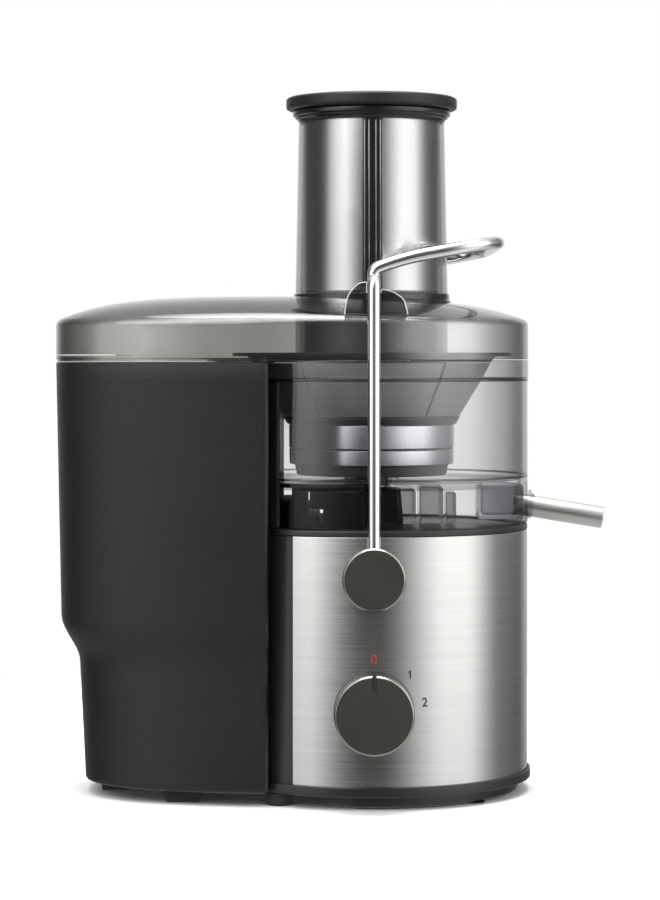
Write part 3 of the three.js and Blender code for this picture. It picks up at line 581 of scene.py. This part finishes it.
def make_base():
    lip, under = BASE_LIP, BASE_BOTTOM
    outline = [(0, under), (28, under), (29, under + 1), (33, under + 1), (34, under), (56, under), (57, under + 1),
               (61, under + 1), (62, under), (BASE_RADIUS, under, 1.1), (BASE_RADIUS, lip, 0.7),
               (BASE_RADIUS - 1.4, lip, 0.4), (BASE_RADIUS - 1.4, lip - 2.4), (0, lip - 2.4)]
    piece("base_tray", turned(outline, 160), SATIN_BLACK, "base_unit", ["base_plate"])
    skirt_low, skirt_top = low("foot_skirt").z, high("foot_skirt").z
    skirt = [(78, skirt_low, 0.8), (86, skirt_low, 1.6), (86.5, skirt_top), (77, skirt_top)]
    piece("foot_arc", swept(skirt, -98, 98, 120), SATIN_BLACK, "base_unit", ["foot_skirt"])
    for name, _ in ENDS:
        foot = f"foot_{name}"
        middle = (low(foot) + high(foot)) / 2
        radius, top = high(foot).x - middle.x, high(foot).z
        bm = turned([(0, 0.9), (2.4, 0.9), (3, 0, 0.2), (radius - 0.2, 0, 1.2), (radius, top, 0.5), (0, top)], 48)
        moved(bm, Matrix.Translation((middle.x, middle.y, 0)))
        piece(f"round_foot_{name}", bm, RUBBER, "base_unit", [foot])
        pad = f"skirt_pad_{name}"
        middle = (low(pad) + high(pad)) / 2
        radius, top = high(pad).x - middle.x, high(pad).z
        bm = turned([(0, 0), (radius, 0, 0.2), (radius, top), (0, top)], 40)
        piece(f"grip_pad_{name}", moved(bm, Matrix.Translation((middle.x, middle.y, 0))), RUBBER, "base_unit", [pad])


def make_housing():
    bottom, top = low("motor_housing").z, high("motor_housing").z
    steel_inside = BODY_RADIUS - 1.3

    def ring(radius, height, proud=0.0):
        points = []
        for k in range(180):
            angle = (k + 0.5) * 2 - 180
            strip = abs(angle) > WRAP_EDGE + 0.4
            reach = radius + (proud if strip else 0)
            points.append((reach * cos(radians(angle)), reach * sin(radians(angle)), height))
        return points

    outer, inner = steel_inside, steel_inside - 2.5
    rings = [ring(inner, bottom), ring(outer, bottom, 1.3), ring(outer, top, 1.3), ring(inner, top)]
    piece("housing_shell", loft(rings, endless=True), SATIN_BLACK, "base_unit", ["motor_housing"])
    sheet = [(BODY_RADIUS - 1, BASE_LIP - 2), (BODY_RADIUS, BASE_LIP - 2), (BODY_RADIUS, WRAP_TOP, 0.5),
             (BODY_RADIUS - 1, WRAP_TOP, 0.2)]
    bm = swept(sheet, -WRAP_EDGE, WRAP_EDGE, 180)
    piece("steel_jacket", bm, WRAP_STEEL, "base_unit", ["steel_wrap"])


def make_deck():
    rim, top, rise = WRAP_TOP + 0.2, DECK_TOP, high("top_deck").z
    deck = [(SHAFT_HOLE, 150), (87, 150), (87, rim), (BODY_RADIUS + 0.1, rim, 0.4), (BODY_RADIUS + 0.1, top, 1.2),
            (84, top, 0.6), (83, top - 1.4), (64, top - 1.4), (SHAFT_HOLE, top - 1.4)]
    piece("deck_ring", turned(deck, 160), SATIN_BLACK, "base_unit", ["top_deck"])
    plinth = [(-56, -34, 10), (-4, -57, 6), (-4, 57, 6), (-56, 34, 10)]
    through = (-70, 70)
    windows = [block(across, through, up, 0) for across, up in
               (((-60, -46.5), (170.5, 178)), ((-37, -28.5), (161.5, 166)), ((-30.5, -28.5), (159, 163)),
                ((-37.4, -36.2), (167, 176)))]
    bm = carved(slab(plinth, top - 1.6, BOWL_FLOOR - 0.3, 0.8), *windows)
    piece("deck_plinth", bm, DEEP_BLACK, "base_unit", crease=40)
    tower = turned([(SHAFT_HOLE, top - 2), (19, top - 2), (17, rise, 1), (SHAFT_HOLE, rise, 0.5)], 96)
    piece("shaft_tower", tower, SATIN_BLACK, "base_unit")


# ------------------------------------------------------------------ bowl and spout


def make_bowl():
    outer, inner, floor = BOWL_RADIUS, BOWL_RADIUS - BOWL_WALL, BOWL_FLOOR
    edge, under = BOWL_BOTTOM - 1, BOWL_FLOOR - 2.5
    well_across = (-WELL_HALF, WELL_HALF)
    shell = [(outer, edge, 0.8), (outer, BAND_BOTTOM), (BAND_RADIUS, BAND_BOTTOM + 0.4, 0.2),
             (BAND_RADIUS, BOWL_TOP, 0.8), (inner, BOWL_TOP, 0.8), (inner, floor + 1, 2.5), (60, floor, 6),
             (16, floor + 0.6, 2), (14.5, 186.5, 0.6), (12, 186.5, 0.5), (12, under), (inner, under, 1),
             (inner, edge, 0.6)]
    well = block((64.5, 87), well_across, (WELL_BOTTOM, floor + 8), 0)
    piece("bowl_shell", carved(turned(shell, 160), well), BOWL_CLEAR, "base_unit", ["juice_bowl"])
    sump = carved(block((62, 88.6), (-17, 17), (158.6, floor - 2.7), 1.4, 3),
                  block((64.5, 86), well_across, (WELL_BOTTOM, floor + 9), 1.2, 3))
    piece("bowl_sump", sump, SUMP_GREY, "base_unit", crease=40)
    # A dark ring tucked under the rim band's step: painted shade where the band overhangs the bowl wall
    band_shadow_profile = [(outer - 0.1, 239.4, 0.2), (BAND_RADIUS, 239.6, 0.3), (BAND_RADIUS, 241.2, 0.3), (outer - 0.1, 241.3)]
    piece("band_shadow_ring", turned(band_shadow_profile, 160), SMOKED_DARK, "base_unit")
    foot, top = 157.2, 240.6
    bar = [(outer - 2.6, foot), (outer + 0.2, foot, 0.3), (outer + 0.2, top, 0.3), (outer - 2.6, top)]
    for name, side in ENDS:
        bm = swept(bar, side * SIDE_BAR[0], side * SIDE_BAR[1], 6)
        piece(f"bowl_side_bar_{name}", bm, SATIN_BLACK, "base_unit")
    line = [(outer - 0.1, 183.4, 0.2), (outer + 0.15, 183.5, 0.1), (outer + 0.15, 184.6, 0.1), (outer - 0.1, 184.7)]
    piece("floor_shadow_ring", turned(line, 160), SMOKED_DARK, "base_unit")
    for i, (across, tall, depth) in enumerate(RIBS):
        bm = block(across, (-depth, depth), (foot, foot + 1 + tall), 0.6, 3)
        piece(f"bowl_rib_{i + 1}", bm, SMOKED_DARK, "base_unit")


def make_spout():
    length = (high("spout").x - SPOUT_START.x) / cos(atan2(SPOUT_SLOPE, 1)) - 1
    tube = [(5.1, 0, 0.3), (6.3, 0, 0.3), (6.3, length, 0.4), (5.1, length, 0.4)]
    piece("spout_pipe", along_spout(turned(tube, 64)), SPOUT_STEEL, "base_unit", ["spout"])
    collar = [(6.5, 7.6), (9.4, 7.6), (9.4, 8.6, 0.4), (7.6, 9.4, 0.4), (7.2, 11, 0.3), (6.5, 11.2)]
    piece("spout_boss", along_spout(turned(collar, 64)), BOWL_CLEAR, "base_unit", ["spout_collar"])


# ------------------------------------------------------------------ lid, tube and pusher


def dome_rise(x, y):
    """Height of the lid's dome above its edge: fuller to the left, falling sooner to the right."""
    angle = atan2(y, x)
    along = min(1, hypot(x, y) / outline_radius(angle, LID_REACH, LID_RADIUS))
    leftness = (1 - cos(angle)) / 2
    return (12 + 2.2 * leftness) * (1 - along ** (3 + 3 * leftness))


def lid_rings(inset, drop, count=192):
    """Rings from the lid's bottom edge over its rounded shoulder and dome to the hole for the tube."""
    turns = [plan_point(tau * k / 720, LID_REACH, LID_RADIUS) for k in range(720)]
    edge = evenly(turns, count)
    hole = 46 + inset * 0.2
    shoulder, corner = LID_EDGE - LID_CORNER - drop, max(0.8, LID_CORNER - inset)
    rings = []

    def ring(inwards, height=None, rise=0.0):
        points = []
        for point in edge:
            pulled = point - point.normalized() * (inset + inwards)
            lift = height
            if height is None:
                top = LID_EDGE - drop + dome_rise(pulled.x, pulled.y)
                lift = shoulder + (top - shoulder) * rise
            points.append((pulled.x, pulled.y, lift))
        return points

    rings.append(ring(0, LID_BOTTOM))
    rings.append(ring(0, shoulder))
    for k in range(1, 7):
        sweep = k * pi / 14
        rings.append(ring(corner * (1 - cos(sweep)), rise=sin(sweep)))
    for share in (0.06, 0.12, 0.2, 0.3, 0.42, 0.55, 0.68, 0.8, 0.9, 0.97):
        points = []
        for point in edge:
            start = point - point.normalized() * (inset + corner)
            angle = atan2(point.y, point.x)
            end = Vector((cos(angle), sin(angle))) * hole
            spot = start.lerp(end, share)
            points.append((spot.x, spot.y, LID_EDGE - drop + dome_rise(spot.x, spot.y)))
        rings.append(points)
    return rings


def make_lid():
    outside, inside = lid_rings(0, 0), lid_rings(LID_WALL, LID_WALL)
    piece("lid_shell", loft(outside + inside[::-1], endless=True), SMOKED, "base_unit", ["lid"], crease=45)
    lip = [bin_ring(z, inset) for inset, z in ((0.5, 250.8), (0.5, 253), (2.3, 253), (2.3, 250.8))]
    piece("lid_lip", loft(lip, endless=True), SMOKED, "base_unit")
    # A light grey rod along the recess near the lid's left end: painted highlight on the recess's edge
    for name, side in ENDS:
        groove = [Vector((x, y * side, 254.6)) for x, y, _ in lid_rings(-0.15, 0)[0] if x < -145 and y >= 0]
        groove.sort(key=lambda point: -point.x)
        piece(f"lid_recess_highlight_{name}", rod(groove, 0.3, 8), PAINTED_EDGE_HIGHLIGHT, "base_unit")
    seat = [(45.1, 283.6), (47.2, 284.4, 0.3), (46.7, 286.4, 0.5), (45.9, 287), (45.9, 290.2, 0.3), (45.1, 290.8)]
    piece("tube_seat", turned(seat), SMOKED_DARK, "base_unit")
    lug = [(-16.4, 277.5, 0.5), (-14.6, 288, 3), (-9, 294.6, 2.4), (-4, 295.3, 0.5), (-4, 289.6, 0.3),
           (3.8, 289.6, 0.3), (4.6, 291.2, 0.5), (9.5, 290.6, 3), (16.8, 286, 3), (18.9, 277.5, 0.5)]
    inner_face, outer_face = 85, 91.8
    for name, side in ENDS:
        bm = slab(lug, inner_face, outer_face, 0.5)
        moved(bm, Matrix.Rotation(pi / 2, 4, "X"))
        if side == BACK:
            moved(bm, Matrix.Translation((0, inner_face + outer_face, 0)))
        piece(f"lid_lug_{name}", bm, LUG_CLEAR, "base_unit", crease=40)
        outline = [Vector((point.x, side * (outer_face - 0.1), point.y)) for point in rounded(lug)]
        # A light grey rod round each lug's outline: painted highlight standing for its bevelled edge catching the
        # light
        piece(f"lug_edge_highlight_{name}", rod(outline, 0.32, 8), PAINTED_EDGE_HIGHLIGHT, "base_unit")


def make_tube():
    inner, neck = TUBE_RADIUS - 2.6, TUBE_NECK - 2.6
    flare = high("feed_tube").x
    mouth = TUBE_TOP - 6.6
    tube = [(TUBE_RADIUS, TUBE_BOTTOM, 0.8), (TUBE_RADIUS, 288), (TUBE_NECK, mouth, 0.3), (neck, mouth, 0.3),
            (inner, 288), (inner, TUBE_BOTTOM, 0.8)]
    piece("chute", turned(tube, 144), TUBE_CLEAR, "base_unit", ["feed_tube"])
    step = TUBE_NECK + 2.1
    lip = [(neck, mouth), (TUBE_NECK, mouth, 0.4), (TUBE_NECK + 0.6, mouth + 1.4, 0.5), (step, mouth + 2.4, 0.6),
           (step, mouth + 3.2, 0.3), (flare, mouth + 3.8, 0.4), (flare, TUBE_TOP, 0.6), (neck, TUBE_TOP, 0.4)]
    piece("tube_mouth", turned(lip, 144), GLOSS_BLACK, "base_unit")


def sleeve_ring(radius, height):
    """A plan of the sleeve with its guide groove front and back."""
    points = []
    for k in range(216):
        angle = tau * k / 216
        away = min(abs(angle - pi / 2), abs(angle - 3 * pi / 2)) * radius
        depth = GUIDE_DEPTH if away < GUIDE_HALF else 0
        points.append(((radius - depth) * cos(angle), (radius - depth) * sin(angle), height))
    return points


def make_pusher():
    bottom, top = low("pusher_sleeve").z, high("pusher_sleeve").z
    outer, inner = SLEEVE_RADIUS, SLEEVE_RADIUS - 1.1
    rings = [sleeve_ring(outer, bottom), sleeve_ring(outer, top), sleeve_ring(inner, top), sleeve_ring(inner, bottom)]
    piece("pusher_jacket", loft(rings, endless=True), SLEEVE_STEEL, "pusher", ["pusher_sleeve"], crease=25)
    tall = (bottom + 0.4, top)
    for name, side in ENDS:
        strip = block((-5, 5), (side * (outer - 0.55), side * (outer - 1.35)), tall, 0.1, 1)
        lines = [block((at - 0.3, at + 0.3), (side * (outer - 0.1), side * (outer - 0.9)), tall, 0.12, 2)
                 for at in (-4.6, -2, 2, 4.6)]
        piece(f"guide_strip_{name}", strip, GLOSS_BLACK, "pusher")
        piece(f"guide_lines_{name}", together(*lines), POLISHED, "pusher")
    low_end = low("pusher_core").z
    core = [(0, low_end), (37, low_end, 1.5), (39.4, low_end + 3, 1.5), (39.4, 291.7, 0.5), (36.9, 291.7), (36.9, top),
            (34.6, top), (34.6, low_end + 2.4, 2), (0, low_end + 2.4)]
    piece("pusher_foot", turned(core), GREY_PLASTIC, "pusher", ["pusher_core"])
    cap = [(0, CAP_BOTTOM), (CAP_RADIUS - 3, CAP_BOTTOM, 0.5), (CAP_RADIUS - 1.2, CAP_BOTTOM + 0.4, 0.8),
           (CAP_RADIUS, CAP_BOTTOM + 1.4, 0.8), (CAP_RADIUS, CAP_TOP - 1.1, 0.7), (CAP_RADIUS - 1.3, CAP_TOP, 0.7),
           (CAP_RADIUS - 5, CAP_TOP, 0.6), (CAP_RADIUS - 7, CAP_TOP - 1.2, 1), (0, CAP_TOP - 1.2)]
    piece("pusher_lid", turned(cap, 144), CAP_BLACK, "pusher", ["pusher_cap"])


# ------------------------------------------------------------------ arm and knob


def make_arm():
    start = low("lock_arm").z

    def half(side):
        leg, loop = side * ARM_LEG, side * ARM_LOOP
        return [(Vector((0, leg, start)), 0), (Vector((0, leg, ARM_TOP)), 4.6), (Vector((0, loop, ARM_TOP)), 3.2),
                (Vector((0, loop, 302.6)), 3.2), (Vector((18, loop, 309)), 12), (Vector((71.5, loop, 318.6)), 34)]

    path = smooth_path(half(FRONT) + half(BACK)[::-1])
    piece("arm_rod", rod(path, ROD_RADIUS), POLISHED, "lock_arm", ["lock_arm"], crease=60)
    radius = CAP_DISC_RADIUS
    for name, side in ENDS:
        body = turned([(0, 92.6), (radius, 92.6, 0.4), (radius, 102.1), (0, 102.1)], 96)
        socket = turned([(0, 7), (ROD_RADIUS + 0.25, 7), (ROD_RADIUS + 0.25, 20), (0, 20)], 32)
        moved(socket, Matrix.Rotation(radians(90 * side), 4, "X"), Matrix.Translation((0, 0, ARM_LEG)))
        pin_hole = turned([(0, 90), (4.3, 90), (4.3, 98.5), (0, 98.5)], 32)
        piece(f"pivot_cap_{name}", facing(carved(body, socket, pin_hole), side, PIVOT_HEIGHT), SATIN_FACE,
              "lock_arm", [f"arm_cap_{name}"])
        edge = [(0, 102.1), (radius, 102.1, 0.15), (radius - 0.9, 103, 0.15), (0, 103)]
        face = [(0, 102.9), (radius - 1, 102.9), (radius - 1.4, 103.05, 0.1), (0, 103.05)]
        piece(f"pivot_edge_{name}", facing(turned(edge, 96), side, PIVOT_HEIGHT), BRIGHT_EDGE, "lock_arm")
        piece(f"pivot_face_{name}", facing(turned(face, 96), side, PIVOT_HEIGHT), SATIN_FACE, "lock_arm")


def make_knob():
    back, front = -high("speed_knob").y, -low("speed_knob").y
    radius = KNOB_RADIUS
    body = turned([(0, back), (radius, back, 0.5), (radius, front - 0.9), (0, front - 0.9)], 128)
    edge = turned([(0, front - 0.9), (radius, front - 0.9, 0.15), (radius - 0.9, front, 0.15), (0, front)], 128)
    proud = front + 0.05
    face = turned([(0, front - 0.4), (radius - 1, front - 0.4), (radius - 1.4, proud, 0.1), (0, proud)], 128)

    def grooved(bm):
        slot = block((-1.3, 1.3), (radius - 8.8, radius + 1), (front - 1.1, front + 2), 0.3)
        return facing(carved(bm, slot), FRONT, KNOB_HEIGHT)

    spindle = turned([(0, back - 2), (3.3, back - 2), (3.3, 104), (0, 104)], 32)
    piece("knob_body", facing(carved(body, spindle), FRONT, KNOB_HEIGHT), SATIN_FACE, "speed_knob", ["speed_knob"])
    piece("knob_edge", grooved(edge), BRIGHT_EDGE, "speed_knob")
    piece("knob_face", grooved(face), SATIN_FACE, "speed_knob")
    skirt_back, skirt_front = -high("knob_skirt").y, -low("knob_skirt").y
    reach = radius + 0.35
    skirt = [(3.3, skirt_back), (reach, skirt_back, 0.4), (reach, skirt_front, 0.8), (3.3, skirt_front)]
    piece("knob_collar", facing(turned(skirt, 128), FRONT, KNOB_HEIGHT), SATIN_BLACK, "speed_knob", ["knob_skirt"])


def make_marks():
    """Printed digits on the steel beside the knob, curved with the sheet."""
    for digit, turn, circle in DIAL_MARKS:
        curve = bpy.data.curves.new("digit", "FONT")
        curve.body, curve.size, curve.align_x, curve.align_y = digit, DIGIT_HEIGHT, "CENTER", "CENTER"
        curve.extrude, curve.offset, curve.resolution_u = 0.04, 0.12, 6
        lettering = bpy.data.objects.new("digit", curve)
        bpy.context.scene.collection.objects.link(lettering)
        bpy.context.view_layer.update()
        bm = bmesh.new()
        bm.from_mesh(lettering.evaluated_get(bpy.context.evaluated_depsgraph_get()).to_mesh())
        bpy.data.objects.remove(lettering)
        if digit == "1":
            bm.free()
            bm = slab(ONE, -0.04, 0.04)
        bmesh.ops.remove_doubles(bm, verts=bm.verts, dist=1e-4)
        for vert in bm.verts:
            across = vert.co.x + circle * sin(radians(turn))
            height = vert.co.y + KNOB_HEIGHT + circle * cos(radians(turn))
            reach = BODY_RADIUS + 0.02 + vert.co.z
            vert.co = (reach * sin(across / BODY_RADIUS), -reach * cos(across / BODY_RADIUS), height)
        ink = INK_RED if digit == "0" else INK_BLACK
        piece(f"dial_mark_{digit}", bm, ink, "base_unit")


# ------------------------------------------------------------------ basket


def make_basket():
    base_low, base_top = low("basket_base").z, high("basket_base").z
    base = [(0, 189.6), (17.5, 189.6, 0.5), (17.5, base_low, 0.4), (44, base_low, 1), (45.2, 190.2, 0.8), (46, 190.6),
            (46, base_top), (0, base_top)]
    piece("basket_hub", turned(base), SATIN_BLACK, "spinner", ["basket_base"])
    band_low, band_top, band = low("basket_band").z, high("basket_band").z, high("basket_band").x
    rings = [(46.3, band_low), (band - 0.3, band_low, 0.5), (band - 0.1, 199.4, 0.4), (band - 1.3, 199.6),
             (band - 1.3, 200.3), (band, 200.6, 0.4), (band, band_top, 0.5), (46.3, band_top)]
    piece("basket_bands", turned(rings), SILVER, "spinner", ["basket_band"])
    # A black ring filling the groove between the silver bands: painted shade in the groove
    groove = [(46.3, 199.5), (band - 0.5, 199.5), (band - 0.5, 200.5), (46.3, 200.5)]
    piece("basket_groove_shade", turned(groove), SATIN_BLACK, "spinner")
    collar_low, collar_top, collar = low("basket_collar").z, high("basket_collar").z, high("basket_collar").x
    lip = [(48.7, collar_low), (49.5, collar_low, 0.3), (collar, collar_top - 1.2, 0.8), (collar, collar_top, 0.3),
           (48.7, collar_top)]
    piece("basket_neck", turned(lip), SATIN_BLACK, "spinner", ["basket_collar"])
    cone_low, cone_top = low("filter_mesh").z, high("filter_mesh").z
    cone = [(50.8, cone_low), (52, cone_low), (66, 242, 6), (70, cone_top), (68.8, cone_top), (64.8, 242, 6)]
    piece("filter_cone", turned(cone, 160), FILTER, "spinner", ["filter_mesh"])
    for i in range(5):
        seam = swept([(51.9, cone_low + 0.3), (52.2, cone_low + 0.3), (66.3, 242), (70.2, cone_top - 0.3),
                      (69.8, cone_top - 0.3), (65.9, 242)], 72 * i - 54.7, 72 * i - 53.3, 3)
        piece(f"mesh_seam_{i + 1}", seam, SATIN_BLACK, "spinner")
    rim_low, rim_top, rim = low("basket_rim").z, high("basket_rim").z, high("basket_rim").x
    flange = [(68.5, rim_low), (70.3, rim_low), (73, rim_top - 2, 1.5), (rim, rim_top - 2, 0.6), (rim, rim_top, 0.6),
              (72, rim_top, 1.5), (68.5, rim_low + 1.7, 0.5)]
    piece("basket_flange", turned(flange, 160), SATIN_BLACK, "spinner", ["basket_rim"])
    disc_low = low("grater_disc").z
    plate = turned([(0, disc_low), (48.3, disc_low), (48.3, disc_low + 2, 0.5), (0, disc_low + 2)], 96)
    teeth = []
    for row, circle in enumerate(range(9, 45, 5)):
        count = 4 + 4 * row
        for k in range(count):
            bm = bmesh.new()
            bmesh.ops.create_cone(bm, cap_ends=True, segments=6, radius1=1.1, radius2=0.15, depth=2.4)
            lean = Matrix.Rotation(radians(24), 4, "X")
            spin = Matrix.Rotation(tau * (k + row / 3) / count, 4, "Z")
            teeth.append(moved(bm, lean, Matrix.Translation((circle, 0, disc_low + 2.9)), spin))
    piece("grater_plate", together(plate, *teeth), POLISHED, "spinner", ["grater_disc"])


# ------------------------------------------------------------------ pulp container


def bin_size(height):
    """Reach to the left and half width of the container at a height: it narrows below a soft grip step."""
    step = min(1, max(0, (height - 77) / 26))
    step = step * step * (3 - 2 * step)
    below = 167.7 + 3.6 * (height - BIN_BOTTOM) / 72
    above = 182 + 3 * (height - 102) / 148.5
    return below * (1 - step) + above * step, 80 + 11 * (height - BIN_BOTTOM) / (BIN_TOP - BIN_BOTTOM)


def bin_ring(height, inset, count=260):
    """The container's crescent plan at a height, pulled in by a wall."""
    reach, half_width = bin_size(height)
    reach, half_width, near = reach - inset, half_width - inset, BIN_EDGE - inset
    hollow = 95 + inset
    outer = [plan_point(pi / 2 + pi * k / 400, reach, half_width) for k in range(401)]
    outer = [point for point in outer if point.x <= near]
    corner = outer[0].y
    inner_half = (hollow**2 - near**2) ** 0.5
    spread = atan2(inner_half, near)
    arc = [Vector((hollow * cos(angle), hollow * sin(angle)))
           for angle in (-spread - (tau - 2 * spread) * k / 120 for k in range(121))]
    ease = 2.2

    def corner_points(sign):
        return [Vector((near - ease * (1 - cos(t)), sign * (corner - ease * (1 - sin(t))))) for t in
                (pi / 2 * j / 6 for j in range(7))]

    line = outer[4:-4] + corner_points(-1)[::-1] + arc + corner_points(1)
    return [(point.x, point.y, height) for point in evenly(line, count)]


def make_container():
    step_heights = list(range(78, 100, 3))
    heights = [BIN_BOTTOM + 1.6, 12, 30, 50, 66, 74, *step_heights, 103, 120, 160, 200, 240, BIN_TOP - 1]
    outside = [bin_ring(BIN_BOTTOM, 1.8), bin_ring(BIN_BOTTOM + 0.5, 0.6)] + [bin_ring(z, 0) for z in heights]
    rim = [bin_ring(BIN_TOP - 0.3, 0.3), bin_ring(BIN_TOP, 1), bin_ring(BIN_TOP, BIN_WALL - 0.6),
           bin_ring(BIN_TOP - 0.8, BIN_WALL)]
    inside = [bin_ring(z, BIN_WALL) for z in heights[::-1][1:-1]] + [bin_ring(BIN_BOTTOM + BIN_WALL, BIN_WALL + 1.5)]
    piece("pulp_bin", loft(outside + rim + inside), GRAINED, "pulp_container", ["pulp_container"], crease=38)
    stub = block((-158, -142), (-14, 14), (0, BIN_BOTTOM + 0.4), 1, 3)
    piece("bin_heel", stub, RUBBER, "pulp_container")
    for name, _ in ENDS:
        node = f"container_pad_{name}"
        lowest, highest = low(node), high(node)
        outline = [(lowest.x, highest.z), (lowest.x + 3.5, 0, 1.2), (highest.x - 5, 0, 1.2), (highest.x, highest.z)]
        bm = slab(outline, -highest.y, -lowest.y, 0.6)
        moved(bm, Matrix.Rotation(pi / 2, 4, "X"))
        piece(f"bin_foot_{name}", bm, RUBBER, "pulp_container", [node])


def finish_inner_nodes():
    for name, node in frame["nodes"].items():
        node.data.materials.clear()
        node.data.materials.append(SLOT_FINISH[SLOT_OF[name]])


# ------------------------------------------------------------------ stage

CAMERA_HEIGHT = 0.2529
CAMERA_BACK = 1.681
CAMERA_LEFT = 0.0245
HORIZON_RISE = 92 / 900  # the eye level's distance above the middle of the frame, as a share of its height


def make_camera():
    data = bpy.data.cameras.new("view")
    data.lens, data.sensor_width, data.shift_y = 114, 36, -HORIZON_RISE
    camera = bpy.data.objects.new("view", data)
    camera.location = (AXIS.x - CAMERA_LEFT, AXIS.y - CAMERA_BACK, CAMERA_HEIGHT)
    camera.rotation_euler = (pi / 2, 0, 0)
    bpy.context.scene.collection.objects.link(camera)
    bpy.context.scene.camera = camera


def make_floor():
    n = Nodes("pale_floor")
    cloud = n.noise(n.add("ShaderNodeTexCoord").outputs["Object"], 3, 2)
    n.set(base_color=n.blend(cloud, (0.93, 0.93, 0.93, 1), (0.95, 0.95, 0.95, 1)), roughness=0.8)
    bm = bmesh.new()
    bmesh.ops.create_circle(bm, cap_ends=True, segments=128, radius=0.62)
    mesh = bpy.data.meshes.new("floor")
    bm.to_mesh(mesh)
    bm.free()
    mesh.materials.append(n.material)
    floor = bpy.data.objects.new("floor", mesh)
    bpy.context.scene.collection.objects.link(floor)
    floor.visible_glossy = False


def soft_light(name, place, target, size, power, spread):
    """A square soft light aimed at a spot; spread is in degrees."""
    data = bpy.data.lights.new(name, "AREA")
    data.size, data.energy, data.spread = size, power, radians(spread)
    light = bpy.data.objects.new(name, data)
    light.location = place
    light.rotation_euler = (Vector(target) - Vector(place)).to_track_quat("-Z", "Y").to_euler()
    bpy.context.scene.collection.objects.link(light)


# brightness of the studio's walls by direction, in degrees from straight ahead of the juicer's front
WALLS = ((-180, 0.95), (-158, 0.8), (-142, 0.2), (-92, 0.12), (-80, 0.5), (-70, 1.5), (-46, 1.9), (-34, 1.1),
         (-22, 0.35), (-10, 0.14), (8, 0.14), (20, 0.45), (34, 1.3), (50, 2.3), (76, 2.4), (90, 1.2), (102, 0.45),
         (140, 0.22), (156, 0.8), (180, 0.95))


def make_studio():
    """A white studio: two tall soft lights in front, a dark gap between them, and a white sweep behind."""
    n = Nodes("studio", bpy.data.worlds.new("studio"))
    bpy.context.scene.world = n.material
    n.tree.nodes.clear()
    x, y, z = n.add("ShaderNodeSeparateXYZ", {0: n.add("ShaderNodeTexCoord").outputs["Generated"]}).outputs
    direction = n.math("ARCTAN2", x, n.math("MULTIPLY", y, -1))
    ramp = n.add("ShaderNodeValToRGB", {0: n.spread(direction, 0, 1, -pi, pi)})
    stops = ramp.color_ramp.elements
    while len(stops) > 1:
        stops.remove(stops[-1])
    for i, (degrees, level) in enumerate(WALLS):
        place = (degrees + 180) / 360
        stop = stops[0] if i == 0 else stops.new(place)
        stop.position = place
        stop.color = (level, level, level, 1)
    walls = n.blend(1, ramp.outputs[0], n.spread(z, 0.4, 1, -0.22, 0.05), blend_type="MULTIPLY")
    table = n.blend(n.spread(z, 0, 0.5, -0.3, -0.55), walls, (1.1, 1.1, 1.1, 1))
    ceiling = n.blend(n.spread(z, 0, 1, 0.45, 0.85), table, (1, 1, 1, 1))
    around = n.add("ShaderNodeBackground", {0: ceiling}).outputs[0]
    white = n.add("ShaderNodeBackground", {0: (1, 1, 1, 1)}).outputs[0]
    seen = n.add("ShaderNodeLightPath").outputs["Is Camera Ray"]
    choice = n.add("ShaderNodeMixShader", {0: seen, 1: around, 2: white}).outputs[0]
    n.put(n.add("ShaderNodeOutputWorld").inputs[0], choice)
    bpy.context.scene.view_settings.view_transform = "Standard"


make_camera()
finish_inner_nodes()
make_base()
make_housing()
make_deck()
make_bowl()
make_spout()
make_lid()
make_tube()
make_pusher()
make_arm()
make_knob()
make_marks()
make_basket()
make_container()
make_floor()
make_studio()
soft_light("upper_left", (AXIS.x - 0.62, AXIS.y - 0.75, 0.9), (AXIS.x - 0.14, AXIS.y, 0.25), 1.0, 1.6, spread=80)
soft_light("overhead", (AXIS.x, AXIS.y, 2.2), (AXIS.x, AXIS.y, 0), 1.6, 9, spread=60)
